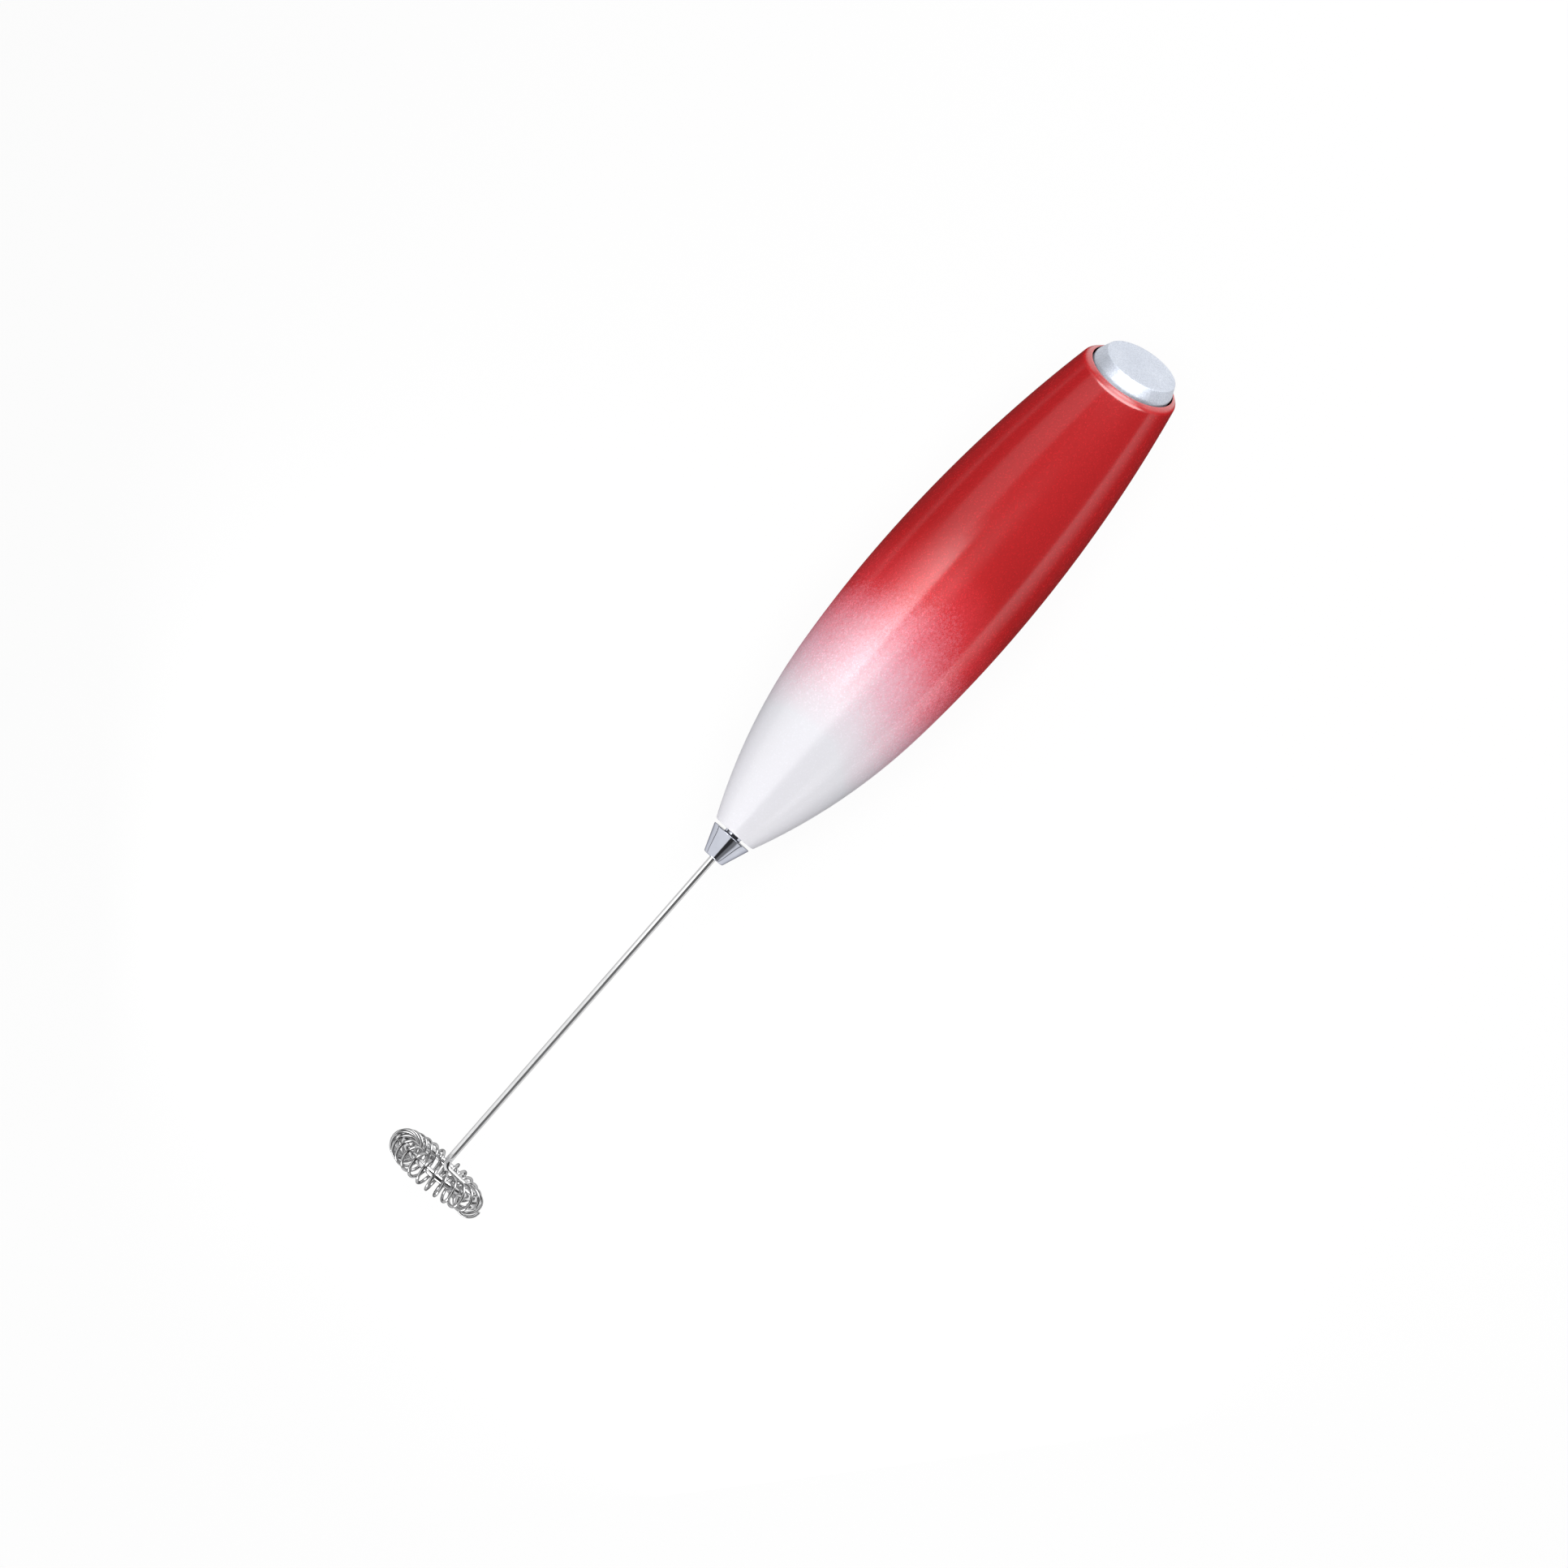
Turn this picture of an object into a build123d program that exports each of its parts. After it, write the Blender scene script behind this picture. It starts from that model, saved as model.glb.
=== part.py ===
from build123d import *
import math
import os

# Battery milk frother lying on its back, in millimetres.
# +X runs along the spin axis from whisk to button, +Z is the front, towards which the button slants.
# The origin is the centre of the nose face, on the spin axis.

os.makedirs("parts", exist_ok=True)

# Clearances
fit_gap = 0.03          # between pieces of one body that are pressed or screwed together
running_gap = 0.05      # radial, shaft in bush
seat_gap = 0.1          # between seated neighbours
frame_gap = 0.3         # inner frame to the inside of the shell
seam_gap = 0.2          # battery cover to front housing
collar_gap = 0.8        # running gap between nose face and collar

# Cells
cell_diameter = 14.2
cell_length = 50.5
cell_spacing = 0.2      # between the two cells
cell_drop = 1.5         # cell axes lie this far behind the spin axis
cell_nub_radius = 2.75
cell_nub_height = 1.2
cell_edge = 0.6         # rounding of the can's ends

# Handle shell
wall = 1.5
belly_room = 2.0        # between cells and shell at the belly
belly_station = 70.0
flank_length = 28.6     # from the belly forward to where the nose curve starts
flank_curve = 279.0     # radius of the outline along that flank
nose_radius = 5.3
nose_edge = 0.5
neck_hole_gap = 0.6
rim_radius = 11.4       # outside of the handle where the rim plane crosses the axis
rim_band = 1.35         # rim wall round the button
rim_bevel_width = 1.0
rim_bevel_drop = 1.0
slant = 33.0            # rim plane, degrees from square
front_lip = 5.8         # depth of the button opening at its front
crown_height = 6.5      # from the cover's upper end to the rim, on the seam

# Battery cover details
tab_length = 9.0
tab_thickness = 0.9
tab_rise = 2.0          # above the seam
tab_root = 3.0          # below the seam
tab_pitch = 24.0
rest_width = 9.0        # flat on the back that the frother lies on
thumb_radius = 16.0
thumb_depth = 0.6
thumb_width = 12.0
thumb_setback = 9.0     # from the cover's upper end

# Button and switch
button_gap = 0.4
button_proud = 3.0      # along the axis
button_wall = 1.4
button_bevel_width = 1.2
button_bevel_drop = 2.6
button_travel = 1.8
flange_width = 0.5      # past the opening's wall
flange_thickness = 1.2
flange_room = 0.9       # flange to board at full press
boss_radius = 3.2
plunger_radius = 1.75
plunger_grip = 3.0      # length held in the button's boss
plunger_reach = 8.4     # from the switch's top to the plunger's end
plunger_depth = 3.6     # in the switch at rest
plunger_edge = 0.35
switch_width = 8.0
switch_height = 7.0
switch_sleeve = 1.4
switch_edge = 1.0
board_width = 15.0
board_depth = 12.0
board_thickness = 1.6
board_corner = 1.5
tower_height = 11.4
tower_wall = 1.6
tower_depth = 10.0

# Inner frame
frame_wall = 1.6
trough_wall = 1.2
trough_width = 25.0
cradle_wall = 1.4
cradle_length = 6.0
cradle_wrap = 2.5       # past the motor's middle
saddle_width = 12.0
rib_count = 2

# Screws
screw_radius = 1.0
screw_head_radius = 1.9
screw_head_height = 1.3
screw_bite = 4.0        # in the boss
screw_socket = 0.7      # depth of the cross recess
socket_length = 2.6
socket_width = 0.7
boss_wall = 1.1
lug_thickness = 1.8
lug_top = 2.0           # lug faces above the seam plane
nose_lug_setback = 2.7  # in front of the motor plate
tower_lug_lift = 4.0    # above the upper cell wall

# Contacts
strip_width = 4.0
strip_thickness = 0.4
strip_bend = 0.5
strip_height = 9.0
bump_height = 3.0       # of the plate contacts' crest
contact_depth = 2.8     # from wall to cell
tab_level = 4.95        # height of the solder tabs
slot_gap = 0.3
solder_overlap = 1.2

# Motor
motor_radius = 10.05
flat_share = 0.75       # width across the flats, as a share of the diameter
motor_room = 0.45       # can to shell at its front edge
can_length = 20.0
can_wall = 0.8
cap_length = 4.6
motor_end_gap = 1.6
motor_boss_radius = 3.05
motor_boss_length = 1.6
motor_shaft_radius = 1.0
motor_bush_radius = 2.2
front_bush_length = 3.0
rear_bush_length = 2.4
shaft_edge = 0.2
shaft_grip = 7.5        # motor shaft in the collar's neck
core_room = 0.5         # armature to the can's flat sides
magnet_length = 15.0
magnet_width = 11.6
air_gap = 0.4
core_length = 9.0
core_setback = 5.6      # from the can's front face
hub_share = 0.42        # these shares are of the armature's radius
pole_share = 0.35
head_share = 0.16
slot_share = 0.24
winding_share = 0.21
pole_count = 3
winding_overhang = 1.4
commutator_radius = 2.2
commutator_length = 4.6
segment_slot = 0.35     # between the commutator's segments
segment_depth = 0.6
brush_width = 1.6
brush_length = 5.0

# Collar, bush and whisk
neck_radius = 2.1
bush_wall = 1.3
bush_length = 8.0
bush_setback = 1.5      # behind the nose wall
cone_height = 6.35
cone_top_radius = 5.0
cone_tip_radius = 2.6
cone_edge = 0.25
wire_radius = 0.8
wire_grip = 12.0        # wire held in the collar
shaft_length = 90.0     # from the cone's tip to the arm
elbow_radius = 1.9      # bend from shaft to arm
arm_bend_radius = 2.6   # bend from arm to ring
ring_radius = 10.8
ring_pitch = 2.1        # how far one turn of the ring comes down
ring_overlap = 12.0     # degrees past a full turn
coil_wire_radius = 0.35
coil_radius = 2.75      # middle of the wire
coil_turns = 26
coil_start = 18.0       # degrees round the ring
coil_end = 347.0
coil_seat = 0.3         # gap where the coil rests on the ring's wire
coil_lean = 45.0        # way the coil lies off the ring: 0 drawn inwards, 90 hanging down
gap_samples = 24        # points on each turn for the gap measure

# Belly and nose of the outline: a nose arc tangent to a flank arc, which is level at the belly
cell_radius = cell_diameter / 2
cell_side = (cell_diameter + cell_spacing) / 2
cell_reach = math.hypot(cell_side, cell_drop) + cell_radius
belly_radius = cell_reach + belly_room + wall
flank_angle = math.asin(flank_length / flank_curve)
flank_centre = (belly_station, belly_radius - flank_curve)
shoulder_station = belly_station - flank_length
shoulder_radius = flank_centre[1] + flank_curve * math.cos(flank_angle)
nose_rise = shoulder_radius - nose_radius
nose_curve = (shoulder_station**2 + nose_rise**2) / (
    2 * (nose_rise * math.cos(flank_angle) - shoulder_station * math.sin(flank_angle))
)
nose_centre = (
    shoulder_station + nose_curve * math.sin(flank_angle),
    shoulder_radius - nose_curve * math.cos(flank_angle),
)


def nose_station(radius, inset):
    """Station on the nose curve where the outline, moved in by inset, has this radius."""
    reach = nose_curve - inset
    return nose_centre[0] - math.sqrt(reach**2 - (radius - nose_centre[1]) ** 2)


# Cross-section of the motor
motor_flat = motor_radius * flat_share
core_radius = motor_flat - can_wall - core_room
magnet_thickness = motor_radius - can_wall - core_radius - air_gap
hub_radius = core_radius * hub_share
pole_width = core_radius * pole_share
pole_head = core_radius * head_share
pole_slot = core_radius * slot_share
winding_width = core_radius * winding_share
brush_root = cell_side

# Stations along the axis, from the nose up
bush_start = wall + bush_setback
motor_front = nose_station(motor_radius + motor_room, wall)
motor_back = motor_front + can_length + cap_length
motor_plate = motor_front - motor_boss_length
lower_wall = motor_back + motor_end_gap
cell_start = lower_wall + frame_wall + contact_depth
cell_end = cell_start + cell_length
upper_wall = cell_end + contact_depth
board_start = upper_wall + frame_wall + tower_height
board_end = board_start + board_thickness
switch_end = board_end + switch_height
plunger_end = switch_end + plunger_reach
flange_start = board_end + flange_room + button_travel
lip_station = flange_start + flange_thickness + seat_gap
slope = math.tan(math.radians(slant))
rim_station = lip_station + front_lip + slope * rim_radius
cover_end = rim_station - crown_height

# Crown of the outline: one arc, level at the belly, through the rim radius
crown_run = rim_station - belly_station
crown_fall = belly_radius - rim_radius
crown_curve = (crown_run**2 + crown_fall**2) / (2 * crown_fall)
crown_centre = (belly_station, belly_radius - crown_curve)
crown_end = rim_station + slope * belly_radius


def crown_radius(station):
    """Outside radius of the handle above the belly."""
    return crown_centre[1] + math.sqrt(crown_curve**2 - (station - belly_station) ** 2)


def rim_reach(side):
    """Distance from the axis to the outside of the slanted rim, at the front (1) or back (-1)."""
    reach = rim_radius
    for _ in range(30):
        reach = crown_radius(rim_station - slope * side * reach)
    return reach


# The button opening is centred in the slanted rim, so its wall is even all round
button_shift = (rim_reach(1) - rim_reach(-1)) / 2
opening_radius = (rim_reach(1) + rim_reach(-1)) / 2 - rim_band
button_radius = opening_radius - button_gap
rim_normal = Vector(math.cos(math.radians(slant)), 0, math.sin(math.radians(slant)))
rim_plane = Plane(origin=(rim_station, 0, 0), x_dir=(0, 1, 0), z_dir=rim_normal)
button_plane = Plane(origin=(rim_station + button_proud, 0, 0), x_dir=(0, 1, 0), z_dir=rim_normal)

# Whisk stations, towards -X
cone_top = -collar_gap
cone_tip = cone_top - cone_height
arm_station = cone_tip - shaft_length
neck_end = motor_plate - motor_boss_length / 2
ring_outer = neck_radius + running_gap + bush_wall + fit_gap + cradle_wall


def square_to_axis(station):
    """Plane square to the spin axis, with local x along +Y and local y along +Z."""
    return Plane(origin=(station, 0, 0), x_dir=(0, 1, 0), z_dir=(1, 0, 0))


def handle_outline(inset, start, stop):
    """Closed outline of half the handle, moved in by inset, between two stations."""
    nose_reach = nose_curve - inset
    flank_reach = flank_curve - inset
    crown_reach = crown_curve - inset
    start_angle = math.degrees(math.asin((nose_centre[0] - start) / nose_reach))
    stop_angle = math.degrees(math.asin((stop - belly_station) / crown_reach))
    shoulder_angle = math.degrees(flank_angle)
    nose = CenterArc(nose_centre, nose_reach, 90 + start_angle, shoulder_angle - start_angle)
    CenterArc(flank_centre, flank_reach, 90 + shoulder_angle, -shoulder_angle)
    crown = CenterArc(crown_centre, crown_reach, 90, -stop_angle)
    Polyline(crown @ 1, (stop, 0), (start, 0), nose @ 0)


# Handle shell

# Where the frame's lugs are screwed down: station, sideways, and radius of the housing's boss
boss_outer = screw_radius + fit_gap + boss_wall
nose_lug_side = math.sqrt(ring_outer**2 - lug_top**2) + seat_gap + boss_outer
tower_lug_side = cell_side + strip_width / 2 + slot_gap + boss_outer
nose_lug = (motor_plate - nose_lug_setback, nose_lug_side)
tower_lug = (upper_wall + frame_wall + tower_lug_lift, tower_lug_side)
lug_points = [
    (nose_lug[0], nose_lug[1]),
    (nose_lug[0], -nose_lug[1]),
    (tower_lug[0], tower_lug[1]),
    (tower_lug[0], -tower_lug[1]),
]

# Space inside the shell, with the bosses for the frame's screws left standing in it
with BuildPart() as cavity:
    with BuildSketch(Plane.XZ):
        with BuildLine():
            handle_outline(wall, wall, lip_station)
        make_face()
    revolve(axis=Axis.X)
    with BuildSketch(Plane.XY.offset(lug_top)):
        with Locations(*lug_points):
            Circle(boss_outer)
    extrude(amount=belly_radius, mode=Mode.SUBTRACT)
    with BuildSketch(Plane.XY.offset(lug_top)):
        with Locations(*lug_points):
            Circle(screw_radius + fit_gap)
    extrude(amount=screw_bite)

with BuildPart() as front_housing:
    with BuildSketch(Plane.XZ) as housing_profile:
        with BuildLine():
            handle_outline(0, 0, crown_end)
        make_face()
        fillet(housing_profile.vertices().sort_by(Axis.X)[:2].sort_by(Axis.Z)[-1], nose_edge)
    revolve(axis=Axis.X)
    split(bisect_by=rim_plane, keep=Keep.BOTTOM)
    rim_face = front_housing.faces().sort_by(Axis((0, 0, 0), rim_normal))[-1]
    chamfer(rim_face.outer_wire().edges(), rim_bevel_width, rim_bevel_drop, reference=rim_face)
    with BuildSketch(square_to_axis(lip_station)):
        with Locations((0, button_shift)):
            Circle(opening_radius)
    extrude(amount=crown_end, mode=Mode.SUBTRACT)
    add(cavity.part, mode=Mode.SUBTRACT)
    with BuildSketch(Plane.YZ):
        Circle(neck_radius + neck_hole_gap)
    extrude(amount=2 * wall, mode=Mode.SUBTRACT)
    with BuildSketch(Plane.XY):
        Rectangle(cover_end, 3 * belly_radius, align=(Align.MIN, Align.CENTER))
    extrude(amount=-2 * belly_radius, mode=Mode.SUBTRACT)

front_housing.part.label = "front_housing"
export_step(front_housing.part, "parts/front_housing.step")

tab_stations = [belly_station + side * tab_pitch / 2 for side in (-1, 1)]
# How far the shell has drawn in at the tabs' far ends
tab_fall = flank_curve - math.sqrt(flank_curve**2 - ((tab_pitch + tab_length) / 2) ** 2)
tab_outside = math.sqrt((belly_radius - wall - tab_fall) ** 2 - tab_rise**2) - frame_gap
tab_inside = tab_outside - tab_thickness
tab_foot = belly_radius - wall / 2 - tab_fall
rest_level = math.sqrt(belly_radius**2 - (rest_width / 2) ** 2)

with BuildPart() as battery_cover:
    with BuildSketch(Plane.XZ) as cover_profile:
        with BuildLine():
            handle_outline(0, 0, cover_end - seam_gap)
        make_face()
        fillet(cover_profile.vertices().sort_by(Axis.X)[:2].sort_by(Axis.Z)[-1], nose_edge)
        with BuildLine():
            handle_outline(wall, wall, rim_station)
        make_face(mode=Mode.SUBTRACT)
    revolve(axis=Axis.X)
    with BuildSketch(Plane.YZ):
        Circle(neck_radius + neck_hole_gap)
    extrude(amount=2 * wall, mode=Mode.SUBTRACT)
    split(bisect_by=Plane.XY.offset(-seam_gap), keep=Keep.BOTTOM)
    split(bisect_by=Plane.XY.offset(-rest_level), keep=Keep.TOP)
    # Locating tabs that stand up inside the front housing
    for station in tab_stations:
        for side in (-1, 1):
            with BuildSketch(square_to_axis(station - tab_length / 2)):
                with BuildLine():
                    Polyline(
                        (side * tab_inside, tab_rise),
                        (side * tab_outside, tab_rise),
                        (side * tab_outside, -seam_gap),
                        (side * tab_foot, -seam_gap),
                        (side * tab_foot, -tab_root),
                        (side * tab_inside, -tab_root),
                        close=True,
                    )
                make_face()
            extrude(amount=tab_length)
    # Shallow scoop for the thumb that pulls the cover off
    thumb_station = cover_end - thumb_setback
    with BuildSketch(Plane.XZ):
        with Locations((thumb_station, -crown_radius(thumb_station) - thumb_radius + thumb_depth)):
            Circle(thumb_radius)
    extrude(amount=thumb_width / 2, both=True, mode=Mode.SUBTRACT)

battery_cover.part.label = "battery_cover"
export_step(battery_cover.part, "parts/battery_cover.step")

# Inner frame

# Everything in the frame stays inside this envelope
with BuildPart() as frame_envelope:
    with BuildSketch(Plane.XZ):
        with BuildLine():
            handle_outline(wall + frame_gap, bush_start, lip_station)
        make_face()
    revolve(axis=Axis.X)

saddle_level = motor_flat + seat_gap
cradle_radius = motor_radius + seat_gap
rib_pitch = (lower_wall - motor_front) / (rib_count + 1)
slot_height = strip_thickness + 2 * slot_gap
tower_side = cell_side - strip_width / 2 - slot_gap - tower_wall / 2

with BuildPart() as inner_frame:
    # Walls square to the axis: in front of the motor and at both ends of the cells
    for station, thickness in (
        (motor_plate, motor_boss_length),
        (lower_wall, frame_wall),
        (upper_wall, frame_wall),
    ):
        with BuildSketch(square_to_axis(station)):
            Circle(belly_radius)
        extrude(amount=thickness)
    # Tube round the nose bush
    with BuildSketch(square_to_axis(bush_start)):
        Circle(ring_outer)
    extrude(amount=motor_plate - bush_start)
    # Saddle over the motor's front flat, with cross ribs out to the shell
    with BuildSketch(square_to_axis(motor_plate)):
        with Locations((0, saddle_level)):
            Rectangle(saddle_width, frame_wall, align=(Align.CENTER, Align.MIN))
    extrude(amount=lower_wall - motor_plate)
    for rib in range(rib_count):
        with BuildSketch(square_to_axis(motor_front + (rib + 1) * rib_pitch)):
            with Locations((0, saddle_level)):
                Rectangle(saddle_width, belly_radius, align=(Align.CENTER, Align.MIN))
        extrude(amount=frame_wall)
    # Snap cradle round the motor's end, open towards the cover
    with BuildSketch(square_to_axis(lower_wall - cradle_length)):
        Circle(cradle_radius + cradle_wall)
        with Locations((0, -cradle_wrap)):
            Rectangle(
                3 * motor_radius,
                3 * motor_radius,
                align=(Align.CENTER, Align.MIN),
                mode=Mode.INTERSECT,
            )
    extrude(amount=cradle_length)
    # Double trough over the front of the cells
    with BuildSketch(square_to_axis(lower_wall)):
        with Locations((cell_side, -cell_drop), (-cell_side, -cell_drop)):
            Circle(cell_radius + seat_gap + trough_wall)
        with Locations((0, -cell_drop)):
            Rectangle(trough_width, 2 * cell_diameter, align=(Align.CENTER, Align.MIN), mode=Mode.INTERSECT)
    extrude(amount=upper_wall - lower_wall)
    # Tower that carries the switch board
    with BuildSketch(square_to_axis(upper_wall)):
        for side in (-1, 1):
            with Locations((side * tower_side, button_shift)):
                Rectangle(tower_wall, tower_depth)
    extrude(amount=board_start - upper_wall)
    # Screw lugs
    with BuildSketch(Plane.XY.offset(lug_top - lug_thickness)):
        with Locations(*lug_points):
            Circle(boss_outer)
        for station, side in lug_points:
            inward = -math.copysign(1, side)
            with Locations((station, side + inward * boss_outer)):
                Rectangle(2 * boss_outer, 2 * boss_outer)
    extrude(amount=lug_thickness)
    add(frame_envelope.part, mode=Mode.INTERSECT)
    # Room for what the frame holds
    with BuildSketch(square_to_axis(bush_start)):
        Circle(neck_radius + running_gap + bush_wall + fit_gap)
    extrude(amount=motor_front - bush_start, mode=Mode.SUBTRACT)
    with BuildSketch(square_to_axis(motor_front)):
        Circle(cradle_radius)
        Rectangle(2 * cradle_radius, 2 * saddle_level, mode=Mode.INTERSECT)
    extrude(amount=lower_wall - motor_front, mode=Mode.SUBTRACT)
    with BuildSketch(square_to_axis(lower_wall + frame_wall)):
        with Locations((cell_side, -cell_drop), (-cell_side, -cell_drop)):
            Circle(cell_radius + seat_gap)
    extrude(amount=upper_wall - lower_wall - frame_wall, mode=Mode.SUBTRACT)
    for start, length in ((motor_back, motor_end_gap + frame_wall), (upper_wall, frame_wall)):
        with BuildSketch(square_to_axis(start)):
            with Locations((cell_side, tab_level), (-cell_side, tab_level)):
                Rectangle(strip_width + 2 * slot_gap, slot_height)
        extrude(amount=length, mode=Mode.SUBTRACT)
    with BuildSketch(Plane.XY.offset(lug_top - lug_thickness)):
        with Locations(*lug_points):
            Circle(screw_radius + fit_gap)
    extrude(amount=lug_thickness, mode=Mode.SUBTRACT)
    # Room for the screws' heads under the lugs
    with BuildSketch(Plane.XY.offset(lug_top - lug_thickness)):
        with Locations(*lug_points):
            Circle(boss_outer)
    extrude(amount=-belly_radius, mode=Mode.SUBTRACT)

inner_frame.part.label = "inner_frame"
export_step(inner_frame.part, "parts/inner_frame.step")

screw_seat = lug_top - lug_thickness

with BuildPart() as frame_screws:
    with BuildSketch(Plane.XY.offset(screw_seat)):
        with Locations(*lug_points):
            Circle(screw_head_radius)
    extrude(amount=-screw_head_height)
    with BuildSketch(Plane.XY.offset(screw_seat)):
        with Locations(*lug_points):
            Circle(screw_radius)
    extrude(amount=lug_thickness + screw_bite - seat_gap)
    with BuildSketch(Plane.XY.offset(screw_seat - screw_head_height)):
        for turn in (0, 90):
            with Locations(*lug_points):
                Rectangle(socket_length, socket_width, rotation=turn)
    extrude(amount=screw_socket, mode=Mode.SUBTRACT)

frame_screws.part.label = "frame_screws"
export_step(frame_screws.part, "parts/frame_screws.step")

# Cells, the left one with its nub towards the button and the right one the other way round

for cell_name, side, base_station, way in (
    ("cell_left", 1, cell_start, 1),
    ("cell_right", -1, cell_end, -1),
):
    cell_plane = Plane(
        origin=(base_station, side * cell_side, -cell_drop), x_dir=(way, 0, 0), z_dir=(0, -1, 0)
    )
    with BuildPart() as cell:
        with BuildSketch(cell_plane) as cell_profile:
            Rectangle(cell_length - cell_nub_height, cell_radius, align=(Align.MIN, Align.MIN))
            fillet(cell_profile.vertices().sort_by(Axis.Z)[-2:], cell_edge)
            Rectangle(cell_length, cell_nub_radius, align=(Align.MIN, Align.MIN))
        revolve(axis=Axis(cell_plane.origin, cell_plane.x_dir))
    cell.part.label = cell_name
    export_step(cell.part, f"parts/{cell_name}.step")

# Contacts: bent strips on the walls at the cells' ends, with a solder tab through the wall


def contact_points(wall_face, into_cell, tab_end, sprung):
    """Centre line of a contact, as points (station, height); into_cell is 1 or -1."""
    face = wall_face + into_cell * strip_thickness / 2
    crest = wall_face + into_cell * (contact_depth - strip_thickness / 2 - seat_gap)
    bottom = -cell_drop - strip_height / 2
    tab = [(tab_end, tab_level), (face, tab_level)]
    if sprung:
        tongue = (crest + face) / 2
        return tab + [(face, bottom), (crest, -cell_drop), (tongue, -cell_drop + cell_nub_radius)]
    top = -cell_drop + cell_nub_radius
    return tab + [
        (face, top),
        (crest, -cell_drop + bump_height / 2),
        (crest, -cell_drop - bump_height / 2),
        (face, bottom + strip_thickness),
    ]


lower_face = lower_wall + frame_wall
lower_tab_end = lower_wall - motor_end_gap + seat_gap
upper_tab_end = board_start - seat_gap / 2

for contact_name, side, wall_face, into_cell, tab_end, sprung in (
    ("spring_contact_lower", 1, lower_face, 1, lower_tab_end, True),
    ("plate_contact_lower", -1, lower_face, 1, lower_tab_end, False),
    ("plate_contact_upper", 1, upper_wall, -1, upper_tab_end, False),
    ("spring_contact_upper", -1, upper_wall, -1, upper_tab_end, True),
):
    strip_plane = Plane(origin=(0, side * cell_side, 0), x_dir=(1, 0, 0), z_dir=(0, -1, 0))
    with BuildPart() as contact:
        with BuildSketch(strip_plane):
            with BuildLine():
                FilletPolyline(*contact_points(wall_face, into_cell, tab_end, sprung), radius=strip_bend)
            trace(line_width=strip_thickness)
        extrude(amount=strip_width / 2, both=True)
    contact.part.label = contact_name
    export_step(contact.part, f"parts/{contact_name}.step")

# Push switch

switch_well = plunger_depth + button_travel + seat_gap

with BuildPart() as switch_board:
    with BuildSketch(square_to_axis(board_start)):
        with Locations((0, button_shift)):
            RectangleRounded(board_width, board_depth, board_corner)
    extrude(amount=board_thickness)

switch_board.part.label = "switch_board"
export_step(switch_board.part, "parts/switch_board.step")

with BuildPart() as switch_body:
    with BuildSketch(square_to_axis(board_end)):
        with Locations((0, button_shift)):
            RectangleRounded(switch_width, switch_width, switch_edge)
    extrude(amount=switch_height - switch_sleeve)
    with BuildSketch(square_to_axis(switch_end - switch_sleeve)):
        with Locations((0, button_shift)):
            Circle(plunger_radius + switch_sleeve)
    extrude(amount=switch_sleeve)
    with BuildSketch(square_to_axis(switch_end)):
        with Locations((0, button_shift)):
            Circle(plunger_radius + running_gap)
    extrude(amount=-switch_well, mode=Mode.SUBTRACT)

switch_body.part.label = "switch_body"
export_step(switch_body.part, "parts/switch_body.step")

with BuildPart() as switch_plunger:
    with BuildSketch(square_to_axis(switch_end - plunger_depth)):
        with Locations((0, button_shift)):
            Circle(plunger_radius)
    extrude(amount=plunger_depth + plunger_reach)
    chamfer(switch_plunger.edges().sort_by(Axis.X)[-1], plunger_edge)

switch_plunger.part.label = "switch_plunger"
export_step(switch_plunger.part, "parts/switch_plunger.step")

# Button

boss_start = plunger_end - plunger_grip

# Hollow under the button's top, with the boss for the plunger left standing in it
with BuildPart() as button_hollow:
    with BuildSketch(square_to_axis(flange_start)):
        with Locations((0, button_shift)):
            Circle(button_radius - button_wall)
    extrude(amount=crown_end - flange_start)
    split(bisect_by=button_plane.offset(-button_wall), keep=Keep.BOTTOM)
    with BuildSketch(square_to_axis(boss_start)):
        with Locations((0, button_shift)):
            Circle(boss_radius)
    extrude(amount=crown_end - boss_start, mode=Mode.SUBTRACT)
    with BuildSketch(square_to_axis(boss_start)):
        with Locations((0, button_shift)):
            Circle(plunger_radius + fit_gap)
    extrude(amount=plunger_grip + fit_gap)

with BuildPart() as button_cap:
    with BuildSketch(square_to_axis(flange_start)):
        with Locations((0, button_shift)):
            Circle(button_radius)
    extrude(amount=crown_end - flange_start)
    split(bisect_by=button_plane, keep=Keep.BOTTOM)
    button_face = button_cap.faces().sort_by(Axis((0, 0, 0), rim_normal))[-1]
    chamfer(button_face.edges(), button_bevel_width, button_bevel_drop, reference=button_face)
    with BuildSketch(square_to_axis(flange_start)):
        with Locations((0, button_shift)):
            Circle(opening_radius + flange_width)
    extrude(amount=flange_thickness)
    add(button_hollow.part, mode=Mode.SUBTRACT)

button_cap.part.label = "button_cap"
export_step(button_cap.part, "parts/button_cap.step")

# Motor

bush_bore = motor_shaft_radius + running_gap
cap_start = motor_front + can_length
brush_station = cap_start + can_wall

with BuildPart() as motor_can:
    with BuildSketch(square_to_axis(motor_front)):
        Circle(motor_radius)
        Rectangle(2 * motor_radius, 2 * motor_flat, mode=Mode.INTERSECT)
    extrude(amount=can_length)
    with BuildSketch(square_to_axis(motor_plate)):
        Circle(motor_boss_radius)
    extrude(amount=motor_boss_length)
    with BuildSketch(square_to_axis(motor_front + can_wall)):
        Circle(motor_radius - can_wall)
        Rectangle(2 * motor_radius, 2 * (motor_flat - can_wall), mode=Mode.INTERSECT)
    extrude(amount=can_length, mode=Mode.SUBTRACT)
    with BuildSketch(square_to_axis(motor_plate)):
        Circle(motor_bush_radius + fit_gap)
    extrude(amount=motor_boss_length + can_wall, mode=Mode.SUBTRACT)

motor_can.part.label = "motor_can"
export_step(motor_can.part, "parts/motor_can.step")

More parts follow.
